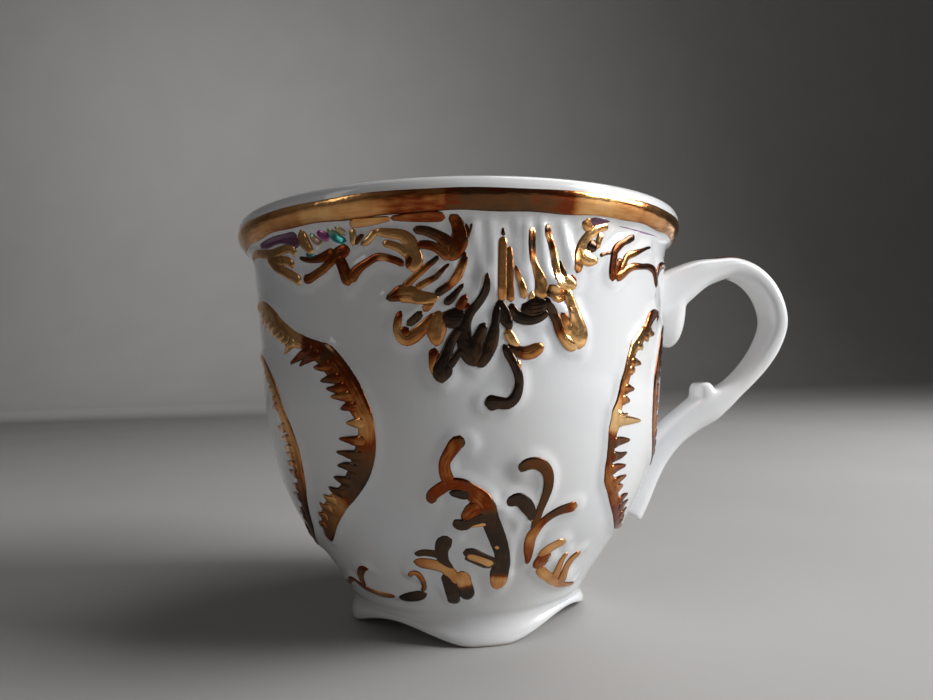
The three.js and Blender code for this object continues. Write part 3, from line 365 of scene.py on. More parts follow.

# Comb-edged crescents: the smooth edge as (angle, depth, width of the strip, tone), and the tips of
# the teeth as (angle, depth), or how many there are and how long in the middle.
# Their tones, like those of the strokes, are mostly painted reflection.
CRESCENTS = {
    "side_crescent_left": {
        "side": -1,
        "edge": [(-78, 22.5, .8, .2), (-72, 23.5, 1.4, .2), (-66, 25.8, 1.9, .2), (-61.7, 28.5, 2.1, .25),
                 (-60, 30.7, 2.1, .25), (-57.9, 32.7, 2.1, .25), (-56.2, 34.6, 2.2, .2),
                 (-54.8, 36.9, 2.2, .25), (-54.3, 39, 2.2, .35), (-54.5, 41.3, 2.2, .4),
                 (-55.2, 43.4, 2.2, .45), (-56.9, 45.6, 2.2, .55), (-58.9, 48.1, 2.1, .75),
                 (-62, 51, 1.9, .75), (-69, 53.8, 1.4, .6), (-77, 56, .8, .5)],
        "teeth": (17, 4.2),
    },
    "large_crescent_left": {
        "side": -1,
        "edge": [(-76, 14.2, .9, .15), (-70, 14, 1.8, .15), (-65, 14.6, 2.6, .12), (-60, 16.2, 2.9, .15),
                 (-57.2, 17.5, 2.6, .18), (-54.2, 18.6, 2.3, .15), (-51.1, 19.7, 2.1, .1),
                 (-49, 20.1, 1.9, .1), (-47.6, 20.5, 1.8, .55), (-45, 21, 2.1, .56),
                 (-42.4, 21.4, 2.8, .62), (-39.6, 22, 3.2, .7), (-37.2, 23.3, 3.3, .58),
                 (-34.6, 25.2, 3.2, .55), (-31.9, 27.7, 3.1, .55), (-30, 30.4, 2.9, .5),
                 (-29.1, 32.5, 2.3, .35), (-28.9, 34.7, 2.3, .35), (-29, 36.9, 2.7, .6),
                 (-30, 39.1, 3, .72), (-31.9, 41.4, 3, .8), (-34.6, 43.3, 2.8, .85),
                 (-37.6, 44.9, 2.6, .75), (-40.9, 46.4, 2.8, .32), (-43.8, 47.9, 3, .3),
                 (-47, 49.5, 3, .32), (-50.4, 51.3, 2.4, .38), (-53.8, 52.7, 1.4, .6), (-55.8, 53, .5, .7)],
        "tips": [(-75, 17.8), (-71.5, 18.6), (-68, 19.4), (-64.5, 20), (-61, 20.8), (-58.6, 21.4),
                 (-57.9, 23), (-55.2, 24.6), (-51.3, 25), (-48.9, 24.6), (-45.9, 25.3), (-43.9, 27.3),
                 (-42.1, 28.4), (-40.9, 29.6), (-38.2, 31.4), (-37, 33.4), (-39.6, 35.7), (-41, 37.7),
                 (-41.4, 39.8), (-43.4, 41.6), (-46, 43.2), (-49, 44.6), (-52, 46), (-54.4, 47.8),
                 (-57, 49.8)],
    },
    "large_crescent_right": {
        "side": 1,
        "edge": [(53.5, 17.2, .8, .55), (49.8, 17, 1.4, .55), (46.3, 17.5, 1.9, .5), (44.4, 18.5, 1.9, .45),
                 (43.1, 19.7, 1.9, .35), (40.9, 20.3, 2, .2), (38.7, 21.4, 2, .12), (36.5, 22.4, 2, .1),
                 (35.4, 23.8, 1.7, .2), (34.3, 25.3, 1.7, .35), (33.3, 26.9, 1.6, .4), (32, 28.5, 1.7, .4),
                 (31.2, 30.2, 1.5, .5), (30.3, 31.6, 1.6, .2), (29.4, 32.4, 2, .04), (29, 34.1, 2.1, .03),
                 (28.6, 35.5, 1.9, .06), (28.8, 36.9, 1.5, .62), (29, 39.6, 1.3, .65), (29, 41.7, 1.4, .45),
                 (29.8, 43.7, 1.7, .45), (31.7, 45.1, 1.8, .5), (33.6, 46.6, 1.8, .5),
                 (36.2, 48.2, 1.8, .52), (39.3, 49.8, 1.8, .6), (42.5, 51.3, 1.7, .6),
                 (46.3, 52.7, 1.4, .6), (49.8, 53.1, 1, .55), (54.6, 53.5, .6, .5)],
        "tips": [(53, 19.1), (52, 21.1), (47, 22.3), (43.3, 23.7), (42.5, 25.9), (39.3, 26.9), (39, 29.8),
                 (37.1, 31.6), (36.6, 33.5), (43.8, 34.9), (39, 37.7), (38.4, 39.6), (39, 41.7),
                 (40.6, 43.4), (40.3, 45.1), (45.4, 46.8), (47.6, 48), (49.8, 49.5), (51.5, 51)],
    },
    "side_crescent_right": {
        "side": 1,
        "edge": [(65, 19, .9, .5), (61, 19.6, 1.5, .55), (57.7, 20.7, 2, .6), (54.6, 23.4, 2.3, .6),
                 (52.3, 25.5, 2.4, .5), (50.3, 28.1, 2.4, .5), (49.8, 30.8, 2.4, .5),
                 (50.4, 33.4, 2.4, .45), (51.7, 35.9, 2.4, .42), (53.9, 38.2, 2.2, .5),
                 (57.7, 40.6, 1.9, .65), (62, 42.5, 1.5, .6), (67, 44, .8, .6)],
        "teeth": (14, 3.8),
    },
}

# Soft ribs and hollows pressed in the clay: (angle, depth) lines with their height and spread.
RIBS = [
    ([(-5.2, 5.4), (-4.6, 9), (-4, 13), (-5.6, 16)], .4, .9),
    ([(-2, 5.4), (-1.8, 9), (-1.4, 15)], .5, .8),
    ([(3.7, 5.6), (4, 9), (4.6, 12.5)], .45, .7),
    ([(5.7, 5.6), (5.8, 10), (6.4, 15)], .5, .6),
    ([(8.9, 5.6), (9.6, 10), (10.9, 13.2), (13, 14.4)], .6, .6),
    ([(13.8, 5.6), (15, 8.5), (16.2, 11.5)], .6, .9),
    ([(-13, 12.5), (-10.6, 13.2), (-9.6, 12)], .3, .6),
    ([(-20.6, 18.6), (-18.6, 17.6), (-16.6, 16.8)], .35, .6),
    ([(11.8, 16.8), (13.6, 17.6), (15.4, 18.6)], .35, .7),
    ([(-2.4, 44.9), (1.1, 46.6), (4.9, 48.6), (5.2, 52), (4.3, 57)], .45, 1.1),
    ([(.5, 41), (5.5, 43.5)], -.3, 1.6),
    ([(6.4, 50), (5.6, 53), (4.9, 55.8)], -.3, 1.2),
    ([(-3, 27), (-3, 31)], -.2, 2.6),
    ([(-12, 44.6), (-9, 45.6)], .2, 1.2),
    ([(-27, 56.4), (-20, 58), (-16, 60)], .35, 1.4),
    ([(18, 55), (26, 58.5), (34, 60)], .35, 1.3),
]

# ---------- strokes as lines on the wall ----------

STROKE_STEP = .4
FINE_STEPS = 24
FEWEST_ROWS = 6
PAINT_SPREAD = 1.2
PAINT_SKIRT = .12

# Teeth of the combs: the share at which distance round the wall counts when a tooth seeks its root,
# the part of the strip that counted teeth stand on, the power by which their length falls off to its
# ends, how far length, bend and tone may stray, and the widths at root, middle and tip.
TOOTH_LEVEL = .4
TOOTH_SPAN = (.06, .94)
TOOTH_TAPER = .35
LENGTH_STRAY = .15
BEND_STRAY = .35
TONE_STRAY = .12
TOOTH_WIDTHS = (2, 1.35, .4)


def running_length(line):
    """Millimetres along a line of (angle, depth, ...) rows."""
    step_round = np.diff(line[:, 0]) * per_degree(line[1:, 1])
    step_down = np.diff(line[:, 1]) * per_depth(line[1:, 1])
    return np.concatenate([[0], np.cumsum(np.hypot(step_round, step_down))])


def line_on_wall(points, step):
    """The smooth line through the points, resampled one step of millimetres apart."""
    fine = smooth(points, FINE_STEPS * len(points))
    length = running_length(fine)
    return evenly(fine, length, max(FEWEST_ROWS, round(length[-1] / step) + 1))


def painted(points):
    """A stroke of the brush through the points: the paint spreads wider than its core."""
    line = line_on_wall(points, STROKE_STEP)
    line[:, 2] = line[:, 2] * PAINT_SPREAD + PAINT_SKIRT
    return line


def across_line(line):
    """Unit step to the right hand of a line, as (degrees, depth) for each millimetre."""
    degree, down = per_degree(line[:, 1]), per_depth(line[:, 1])
    go_round = np.gradient(line[:, 0]) * degree
    go_down = np.gradient(line[:, 1]) * down
    size = np.hypot(go_round, go_down)
    return np.stack([go_down / size / degree, -go_round / size / down], 1)


def strip_of(crescent):
    """The strip of a crescent as one stroke: its middle is half its width inside the smooth edge."""
    line = painted(crescent["edge"])
    line[:, :2] += crescent["side"] * across_line(line) * line[:, 2:3] / 2
    return line


def teeth_of(crescent, seed):
    """The teeth of a crescent: tapering strokes from the middle of the strip to their tips, each
    bent a little up or down. Where only a number and a length are given, the tips stand square off
    the strip at equal shares, longest in the middle."""
    strip = strip_of(crescent)
    draw = np.random.default_rng(seed)
    if "tips" in crescent:
        tips = np.array(crescent["tips"], float)
    else:
        count, reach = crescent["teeth"]
        share = np.linspace(*TOOTH_SPAN, count)
        rows = (share * (len(strip) - 1)).astype(int)
        out = crescent["side"] * across_line(strip)[rows]
        stray = draw.uniform(1 - LENGTH_STRAY, 1 + LENGTH_STRAY, count)
        long = reach * np.sin(math.pi * share) ** TOOTH_TAPER * stray
        tips = strip[rows, :2] + out * long[:, None]
    root_width, middle_width, tip_width = TOOTH_WIDTHS
    teeth = []
    for tip in tips:
        aside = (strip[:, 0] - tip[0]) * per_degree(tip[1]) * TOOTH_LEVEL
        root = strip[np.argmin(np.hypot(aside, strip[:, 1] - tip[1]))]
        bend = draw.uniform(-BEND_STRAY, BEND_STRAY)
        middle = (root[:2] + tip) / 2 + (0, bend)
        tone = np.clip(root[3] + draw.uniform(-TONE_STRAY, TONE_STRAY), 0, 1)
        teeth.append([
            (*root[:2], root_width, root[3]), (*middle, middle_width, tone), (*tip, tip_width, tone),
        ])
    return teeth


half_lines = [painted(points) for strokes in GILDING.values() for points in strokes]
half_lines += [strip_of(crescent) for crescent in CRESCENTS.values()]

# ---------- relief of the clay ----------

# Beds under the strokes: height, spread, and how far off a line they are worked out. Ribs: that
# reach as a multiple of their spread, and a line of next to no width. Then the depths between which
# the relief comes in under the lip and goes out over the foot, and its cells.
BED_HEIGHT = .3
BED_SPREAD = .75
BED_REACH = 4 * BED_SPREAD
RIB_REACH = 3
RIB_WIDTH = .01
FADE_IN = (4.9, 6.2)
FADE_OUT = (61.5, 63.5)
RELIEF_ANGLES = np.arange(-QUARTER_TURN, QUARTER_TURN, .5)
RELIEF_DEPTHS = np.arange(0, 65, .4)


def near_line(line, reach):
    """The patch of the relief within reach of a line, and each cell's distance to it beyond the
    line's own half width."""
    def cells(places, along, margin):
        middle = (along.min() + along.max()) / 2
        return np.flatnonzero(np.abs(places - middle) < np.ptp(along) / 2 + margin)

    columns = cells(RELIEF_ANGLES, line[:, 0], reach / per_degree(line[:, 1].mean()))
    rows = cells(RELIEF_DEPTHS, line[:, 1], reach)
    angle, depth = np.meshgrid(RELIEF_ANGLES[columns], RELIEF_DEPTHS[rows])
    aside = (angle[..., None] - line[:, 0]) * per_degree(depth)[..., None]
    below = (depth[..., None] - line[:, 1]) * per_depth(depth)[..., None]
    away = np.hypot(aside, below) - line[:, 2] / 2
    return np.ix_(rows, columns), np.maximum(away.min(-1), 0)


def make_relief():
    """Height of the clay over half a turn: a soft bed under each stroke, where the highest bed
    counts, and the sum of the ribs, each a bell-shaped rise off its own line."""
    field = np.zeros((len(RELIEF_DEPTHS), len(RELIEF_ANGLES)))
    for line in half_lines:
        patch, away = near_line(line, BED_REACH)
        field[patch] = np.maximum(field[patch], BED_HEIGHT * np.exp(-(away / BED_SPREAD) ** 2))
    for points, height, spread in RIBS:
        line = line_on_wall([(*point, RIB_WIDTH) for point in points], STROKE_STEP)
        patch, away = near_line(line, RIB_REACH * spread)
        field[patch] += height * np.exp(-(away / spread) ** 2)
    fade = ramp(RELIEF_DEPTHS, *FADE_IN) * (1 - ramp(RELIEF_DEPTHS, *FADE_OUT))
    return field * fade[:, None]


RELIEF = make_relief()
# Just short of the last row, so that every place has a row below it.
LAST_ROW = len(RELIEF_DEPTHS) - 1.001


def relief(angle, depth):
    """The height of the clay between the four nearest cells, the same again half a turn round."""
    column = np.mod(angle - RELIEF_ANGLES[0], HALF_TURN) / (RELIEF_ANGLES[1] - RELIEF_ANGLES[0])
    row = np.clip(depth / RELIEF_DEPTHS[1], 0, LAST_ROW)
    left, top = column.astype(int), row.astype(int)
    right = (left + 1) % len(RELIEF_ANGLES)
    left = left % len(RELIEF_ANGLES)
    x, y = column - np.floor(column), row - top
    upper = RELIEF[top, left] * (1 - x) + RELIEF[top, right] * x
    lower = RELIEF[top + 1, left] * (1 - x) + RELIEF[top + 1, right] * x
    return upper * (1 - y) + lower * y


def round_axis(angle, radius, height):
    """Metres, for a place given by its angle and its radius and height in millimetres."""
    turn = np.radians(angle)
    return np.stack([
        AXIS_X + MM * radius * np.sin(turn),
        AXIS_Y - MM * radius * np.cos(turn),
        MM * height + 0 * turn,
    ], -1)


def on_wall(angle, depth, lift):
    """A place on the outside wall with its relief, lifted along the wall's normal."""
    slope = wall_slope(depth)
    size = np.hypot(1, slope)
    out = (lift + relief(angle, depth)) / size
    return round_axis(angle, wall_radius(depth) + out, DRAWN_HEIGHT - depth + out * slope)


# ---------- meshes ----------


def outward(points, quads, triangles):
    """The faces, turned round where the volume they enclose comes out negative."""
    corners = np.vstack([quads[:, [0, 1, 2]], quads[:, [0, 2, 3]], triangles])
    a, b, c = (points[corners[:, k]] for k in range(3))
    if np.einsum("ij,ij->i", a, np.cross(b, c)).sum() < 0:
        return quads[:, ::-1], triangles[:, ::-1]
    return quads, triangles


def tube(rings):
    """A closed surface through rings of points: neighbouring rings are joined by quads, and the
    first and last ring are closed by a fan to their middle."""
    rows, sides = rings.shape[:2]
    poles = np.stack([rings[0].mean(0), rings[-1].mean(0)])
    points = np.vstack([rings.reshape(-1, 3), poles])
    row, side = np.meshgrid(np.arange(rows - 1), np.arange(sides), indexing="ij")
    here, beside = row * sides + side, row * sides + (side + 1) % sides
    quads = np.stack([here, beside, beside + sides, here + sides], -1).reshape(-1, 4)
    around = np.arange(sides)
    after = (around + 1) % sides
    first, last = rows * sides, (rows - 1) * sides
    fans = [
        np.stack([np.full(sides, first), after, around], 1),
        np.stack([np.full(sides, first + 1), last + around, last + after], 1),
    ]
    return points, *outward(points, quads, np.vstack(fans))


def closed_ring(rings):
    """As a tube, for rings that come round to the first again, so that nothing is left to close."""
    rows, sides = rings.shape[:2]
    row, side = np.meshgrid(np.arange(rows), np.arange(sides), indexing="ij")
    here, beside = row * sides + side, row * sides + (side + 1) % sides
    over = (row + 1) % rows * sides + side
    across = (row + 1) % rows * sides + (side + 1) % sides
    quads = np.stack([here, beside, across, over], -1).reshape(-1, 4)
    points = rings.reshape(-1, 3)
    return points, *outward(points, quads, np.empty((0, 3), int))


# Corners round the section of a stroke.
LENS_SIDES = 12


def with_poles(rings):
    """A value for each point of a tube: those of its rings, then the first and the last again for
    its two poles."""
    values = rings.reshape(-1, *rings.shape[2:])
    return np.concatenate([values, values[[0, -1]]])


def lens_marks(tone, length, aside, shift, turn):
    """What the gold and glass read on a lens-shaped stroke: its tone, how near the edge a point is,
    and its place along and across the stroke, shifted so that the strokes of a piece differ."""
    ones = np.ones_like(aside)
    return {
        "tone": with_poles(tone[:, None] * ones),
        "edge": with_poles(np.abs(np.cos(turn)) * ones),
        "brush": with_poles(np.stack([length[:, None] * ones, aside, shift * ones], -1)),
    }


def piece(name, surfaces, material, replaces, marks=None):
    """One object of the cup from closed surfaces (points, quads, triangles), with the values named
    in marks kept on its points, riding on the frame in place of the CAD nodes it stands for."""
    points, corners, sizes, offset = [], [], [], 0
    for own, quads, triangles in surfaces:
        points.append(own)
        corners += [(quads + offset).ravel(), (triangles + offset).ravel()]
        sizes += [np.full(len(quads), 4), np.full(len(triangles), 3)]
        offset += len(own)
    points, corners, sizes = np.concatenate(points), np.concatenate(corners), np.concatenate(sizes)
    mesh = bpy.data.meshes.new(name)
    mesh.vertices.add(len(points))
    mesh.vertices.foreach_set("co", points.astype(np.float32).ravel())
    mesh.loops.add(len(corners))
    mesh.loops.foreach_set("vertex_index", corners.astype(np.int32))
    mesh.polygons.add(len(sizes))
    starts = np.concatenate([[0], np.cumsum(sizes)[:-1]])
    mesh.polygons.foreach_set("loop_start", starts.astype(np.int32))
    mesh.update(calc_edges=True)
    mesh.shade_smooth()
    for mark, values in (marks or {}).items():
        values = np.asarray(values, np.float32)
        kind, field = ("FLOAT", "value") if values.ndim == 1 else ("FLOAT_VECTOR", "vector")
        mesh.attributes.new(mark, kind, "POINT").data.foreach_set(field, values.ravel())
    mesh.materials.append(material)
    made = bpy.data.objects.new(name, mesh)
    bpy.context.scene.collection.objects.link(made)
    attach(made, "root")
    if replaces:
        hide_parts(*replaces)
    return made


# ---------- shaders ----------


class Value:
    """An output of a node that takes part in expressions: each operator adds one Math node."""

    def __init__(self, shader, socket):
        self.shader, self.socket = shader, socket

    def math(self, operation, *terms):
        return self.shader.node("ShaderNodeMath", {"operation": operation}, dict(enumerate(terms)))

    def __add__(self, other):
        return self.math("ADD", self, other)

    def __sub__(self, other):
        return self.math("SUBTRACT", self, other)

    def __rsub__(self, other):
        return self.math("SUBTRACT", other, self)

    def __mul__(self, other):
        return self.math("MULTIPLY", self, other)

    def __pow__(self, other):
        return self.math("POWER", self, other)

    __radd__ = __add__
    __rmul__ = __mul__

    def between(self, low, high):
        """0 below low, 1 above high, straight between."""
        return self.shader.node(
            "ShaderNodeMapRange", {"clamp": True}, {"Value": self, "From Min": low, "From Max": high}
        )


class Shader:
    def __init__(self, name):
        self.material = bpy.data.materials.new(name)
        self.material.use_nodes = True
        self.tree = self.material.node_tree
        self.surface = self.tree.nodes["Principled BSDF"]
        self.place = self.node("ShaderNodeTexCoord", output="Object")

    def node(self, kind, settings=None, inputs=None, output=0):
        made = self.tree.nodes.new(kind)
        for name, value in (settings or {}).items():
            if name == "stops":
                self.stops(made.color_ramp, value)
            else:
                setattr(made, name, value)
        for name, value in (inputs or {}).items():
            self.put(made.inputs[name], value)
        return Value(self, made.outputs[output])

    def put(self, socket, value):
        if isinstance(value, Value):
            self.tree.links.new(value.socket, socket)
        else:
            socket.default_value = value

    @staticmethod
    def stops(color_ramp, stops):
        while len(color_ramp.elements) < len(stops):
            color_ramp.elements.new(1)
        for element, (position, colour) in zip(color_ramp.elements, stops):
            element.position = position
            element.color = (*colour, 1)

    def noise(self, scale, detail=2, vector=None):
        return self.node("ShaderNodeTexNoise", None, {
            "Vector": vector or self.place, "Scale": scale, "Detail": detail,
        })

    def mark(self, name, output="Fac"):
        return self.node("ShaderNodeAttribute", {"attribute_name": name}, output=output)

    def blend(self, share, first, second):
        return self.node("ShaderNodeMix", {"data_type": "RGBA"}, {
            "Factor": share, 6: first, 7: second,
        }, output=2)

    def bump(self, height, depth_mm):
        return self.node("ShaderNodeBump", None, {
            "Height": height, "Distance": depth_mm * MM, "Strength": 1,
        })

    def finish(self, **inputs):
        """Sets the surface's sockets, named with _ for a space, and gives the material."""
        for name, value in inputs.items():
            self.put(self.surface.inputs[name.replace("_", " ")], value)
        return self.material


PLAIN_WHITE = (.80, .80, .80, 1)
COOL_WHITE = (.74, .765, .80, 1)
BARE_CLAY = (.62, .59, .54, 1)
BURNT_SPECK = (.10, .06, .04, 1)


def porcelain():
    """Hard white glaze: a clear coat over a dense white body, clouded with a little blue, with
    a faint waviness, a few burnt specks, and a bare ring where the foot was wiped before firing."""
    shader = Shader("porcelain_glaze")
    cloud = shader.noise(38, 3)
    ripple = shader.noise(330, 2)
    height = shader.node("ShaderNodeSeparateXYZ", None, {"Vector": shader.place}, output="Z")
    bare = 1 - height.between(.25 * MM, .6 * MM)
    dots = shader.node("ShaderNodeTexVoronoi", None, {
        "Vector": shader.place, "Scale": 62,
    }, output="Distance")
    speck = 1 - dots.between(.012, .022)
    white = shader.blend(cloud.between(.3, .7), PLAIN_WHITE, COOL_WHITE)
    clay = shader.blend(bare, white, BARE_CLAY)
    return shader.finish(
        Base_Color=shader.blend(speck * .75, clay, BURNT_SPECK),
        Roughness=.26 + .1 * cloud + .35 * bare,
        Coat_Weight=1 - bare,
        Coat_Roughness=.035,
        IOR=1.52,
        Subsurface_Weight=.12,
        Subsurface_Radius=(1.6 * MM, 1.3 * MM, 1.1 * MM),
        Normal=shader.bump(ripple * .7 + cloud * .9, .05),
    )


# From bright gold through red-brown to nearly black: (tone, colour). The tones fed to it are mostly painted
# reflection.
GOLD_TONES = [
    (0, (1.0, .64, .30)), (.18, (.93, .50, .19)), (.36, (.68, .29, .095)), (.48, (.45, .155, .04)),
    (.58, (.25, .04, .011)), (.7, (.18, .075, .03)), (.84, (.11, .062, .036)), (1, (.06, .042, .033)),
]


# Streaks are long along the stroke, narrow across it, and different for each stroke.
BRUSH_STRETCH = (.35, 2.6, 1)


def gilding(name, roughness):
    """Burnished gold laid with a brush: its tone, mostly painted reflection, follows the stroke, streaked
    along it, browner where it thins at the edge, on a surface that is never quite flat."""
    shader = Shader(name)
    edge = shader.mark("edge")
    streak_at = shader.node("ShaderNodeVectorMath", {"operation": "MULTIPLY"}, {
        0: shader.mark("brush", "Vector"), 1: BRUSH_STRETCH,
    })
    streak = shader.noise(1, 3, streak_at)
    pool = shader.noise(360, 2)
    tone = shader.mark("tone") + .34 * (pool - .5) + .3 * (streak - .5) + .2 * edge ** 5
    ramped = shader.node("ShaderNodeValToRGB", {"stops": GOLD_TONES}, {"Fac": tone})
    return shader.finish(
        Base_Color=ramped,
        Metallic=1.0,
        Roughness=roughness + .16 * (streak * pool),
        Normal=shader.bump(pool * .8 + streak * .25, .16),
    )


DEEP_WINE = (.070, .008, .030, 1)
PURPLE_WINE = (.13, .016, .095, 1)
THIN_AND_SHADED_VIOLET = (.30, .16, .34, 1)


def burgundy_enamel():
    """Deep wine-red glass enamel, clouded with purple, and violet where its tone is high: where the enamel
    thins, and along the long tail of enamel_right, which is painted shade under the gold band.
    """
    shader = Shader("burgundy_enamel")
    cloud = shader.noise(300, 3)
    deep = shader.blend(cloud.between(.35, .65), DEEP_WINE, PURPLE_WINE)
    colour = shader.blend(shader.mark("tone").between(.3, 1), deep, THIN_AND_SHADED_VIOLET)
    return shader.finish(
        Base_Color=colour, Roughness=.2 + .1 * cloud, Coat_Weight=1.0, Coat_Roughness=.04,
        Normal=shader.bump(cloud, .05),
    )


LUSTRE_TONES = [
    (.1, (.02, .30, .33)), (.32, (.10, .46, .42)), (.5, (.72, .55, .26)), (.68, (.42, .10, .34)),
    (.9, (.16, .05, .30)),
]


def iridescent_lustre():
    """Thin metal lustre that fired to teal, gold and violet by turns."""
    shader = Shader("iridescent_lustre")
    cloud = shader.noise(420, 2)
    shift = cloud * .7 + shader.mark("tone") * .6 - .15
    return shader.finish(
        Base_Color=shader.node("ShaderNodeValToRGB", {"stops": LUSTRE_TONES}, {"Fac": shift}),
        Metallic=.85, Roughness=.14 + .15 * cloud, Normal=shader.bump(cloud, .1),
    )


def paper_floor():
    """Pale grey, matt studio paper with a trace of mottle."""
    shader = Shader("paper_floor")
    mottle = shader.noise(14, 4)
    return shader.finish(
        Base_Color=shader.blend(mottle, (.36, .355, .35, 1), (.41, .405, .395, 1)),
        Roughness=.85 + .1 * mottle,
    )


PORCELAIN = porcelain()
BRIGHT_GOLD = gilding("bright_gold", .13)
DARK_GOLD = gilding("dark_gold", .16)
ENAMEL_GLASS = burgundy_enamel()
LUSTRE_FILM = iridescent_lustre()

# ---------- the cup ----------

LIP_ROUND = .95
FOOT_RADIUS = 21.5
FOOT_WAIST = 20.9
FOOT_WALL = 2.6
FOOT_INSIDE = FOOT_RADIUS - FOOT_WALL
RECESS_HEIGHT = 3.5
FLOOR_HEIGHT = RECESS_HEIGHT + 3
POLE_RADIUS = .6

# The foot's arches, full below the first height of their fade and gone above the second.
ARCH_PITCH = 90
ARCH_HALF_ANGLE = 37.5
ARCH_RISE = 2.9
ARCH_FULLNESS = 1.5
ARCH_PULL = .6
ARCH_FADE = (.4, 4.6)

# Depths: where the outside wall ends under the lip, what the inside wall spans, and where the shell
# goes from the thickness of the lip to that of the wall.
WALL_TOP = 1.5
INSIDE_SPAN = (1.9, 59)
SHELL_CHANGE = (3, 6)

COLUMNS = 432
FOOT_ROWS = 44
WALL_ROWS = 126
LIP_ROWS = 13
INSIDE_ROWS = 34
FLOOR_ROWS = 16


def arch_share(angle):
    """1 in the middle of each arch of the foot, falling to 0 on the pads as a power of a cosine."""
    from_arch = (np.mod(angle, ARCH_PITCH) - ARCH_PITCH / 2) / ARCH_HALF_ANGLE
    return np.maximum(np.cos(np.clip(from_arch, -1, 1) * math.pi / 2), 0) ** ARCH_FULLNESS


def foot_line():
    """Profile of the foot as (radius, height): out from the middle of the recess, down the inside
    of the ring, across the bottom, and up the waist to the neck."""
    return smooth([
        (POLE_RADIUS, RECESS_HEIGHT + .25), (10, RECESS_HEIGHT + .2), (FOOT_INSIDE - 1.3, RECESS_HEIGHT),
        (FOOT_INSIDE - .3, RECESS_HEIGHT - .4), (FOOT_INSIDE, RECESS_HEIGHT - 1.3), (FOOT_INSIDE + .15, .7),
        (FOOT_INSIDE + .6, .12), (FOOT_INSIDE + 1.2, 0), (FOOT_RADIUS - .8, 0), (FOOT_RADIUS - .25, .1),
        (FOOT_RADIUS, .6), (FOOT_RADIUS - .1, 1.5), (FOOT_WAIST, .5 * (DRAWN_HEIGHT - NECK_DEPTH)),
        (FOOT_WAIST + .1, 4.6), (WALL_LINE[-1][1] - .25, 5.6),
    ], FOOT_ROWS)


def lip_line():
    """Profile over the rolled lip, from the outside to the inside."""
    rim = WALL_LINE[0][1]
    return smooth([
        (rim, DRAWN_HEIGHT - 1.3), (rim - .3, DRAWN_HEIGHT - .45), (rim - LIP_ROUND, DRAWN_HEIGHT),
        (rim - 1.6 * LIP_ROUND, DRAWN_HEIGHT - .45), (rim - 2 * LIP_ROUND, DRAWN_HEIGHT - 1.4),
    ], LIP_ROWS)


def inside_line():
    """Profile of the inside: the outside wall moved in along its normal by the thickness of the
    shell, which goes from the lip's to the wall's, then a soft corner and the floor."""
    down = np.linspace(*INSIDE_SPAN, INSIDE_ROWS)
    slope = wall_slope(down)
    shell = 2 * LIP_ROUND + (WALL_THICKNESS - 2 * LIP_ROUND) * ramp(down, *SHELL_CHANGE)
    move = shell / np.hypot(1, slope)
    wall = np.stack([wall_radius(down) - move, DRAWN_HEIGHT - down - move * slope], 1)
    floor = smooth([
        wall[-1], (17.6, FLOOR_HEIGHT + 1.6), (13.6, FLOOR_HEIGHT + .4), (7, FLOOR_HEIGHT + .05),
        (POLE_RADIUS, FLOOR_HEIGHT),
    ], FLOOR_ROWS)
    return np.vstack([wall, floor[1:]])


def cup_body():
    """The bowl and foot as one closed surface: a profile carried round the axis. It runs from the
    middle of the underside out over the foot ring, up the wall with its relief, over the rolled
    lip, and down inside to the middle of the floor. Each arch lifts the ring and draws it in, and
    leaves the recess as it is."""
    angle = np.arange(COLUMNS) * 360 / COLUMNS
    foot = foot_line()
    share = arch_share(angle) * (1 - ramp(foot[:, 1], *ARCH_FADE))[:, None]
    share = share * ramp(foot[:, 0], FOOT_INSIDE - 2, FOOT_INSIDE - .5)[:, None]
    foot_rings = round_axis(angle, foot[:, :1] - ARCH_PULL * share, foot[:, 1:] + ARCH_RISE * share)

    depth = np.linspace(NECK_DEPTH, WALL_TOP, WALL_ROWS)[:, None]
    wall_rings = on_wall(angle[None] + 0 * depth, depth + 0 * angle, 0 * depth)

    rest = np.vstack([lip_line(), inside_line()])
    rest_rings = round_axis(angle, rest[:, :1], rest[:, 1:])
    rings = np.concatenate([foot_rings, wall_rings, rest_rings])
    return piece("cup_porcelain", [tube(rings)], PORCELAIN, ["cup_body"])


# ---------- the handle ----------

# Stations along the middle of a strap: (distance off the wall, depth, thickness, width).
STRAP = [
    (-1, 14.1, 10.4, 10.2), (.9, 13.8, 9.9, 9.7), (2.9, 12.9, 8.9, 9.2), (6.2, 10.8, 7.8, 8.7),
    (10.2, 8.6, 6.2, 8.2), (13.8, 7.6, 4.9, 7.8), (17.6, 7.1, 4.2, 7.6), (21.5, 8.4, 4.2, 7.6),
    (24.8, 11.2, 4.1, 7.6), (26.9, 15, 4, 7.6), (27.5, 18.8, 3.9, 7.6), (26.1, 22.9, 3.8, 7.6),
    (23.8, 26.3, 3.6, 7.5), (21.1, 29.2, 3.5, 7.3), (18.6, 31.4, 3.7, 7.2), (16.1, 33.2, 4.9, 7.4),
    (13.2, 34.9, 6.2, 7.6), (9.6, 37.2, 5.6, 7.4), (6.4, 39.9, 5.4, 7.3), (3.9, 43.4, 5.7, 7.4),
    (2.6, 47.2, 6.3, 7.7), (2.5, 51, 6.4, 8.1), (2.8, 54.6, 6.6, 8.4),
]
LEAF = [
    (2.6, 9.2, 6, 7.2), (3.4, 12.5, 8.4, 8.5), (3.6, 17, 8.2, 8.2), (3.2, 20.4, 7.2, 6.8),
    (2.8, 22.2, 5, 4.4),
]
SPUR = [(13.4, 36.2, 4.8, 6.8), (12.9, 33.4, 4.6, 6.6), (12.2, 31, 3.8, 6), (11.95, 29.9, 2.4, 4.8)]

HANDLE_ANGLE = QUARTER_TURN
SIDEWAYS = np.array((0, 1, 0))
SQUARENESS = .72
STRAP_SIDES = 36
SKIN_CELL = .36
SOFTEN_ROUNDS = 9
PAD_LIFT = -.95
PAD_ROUND = .75

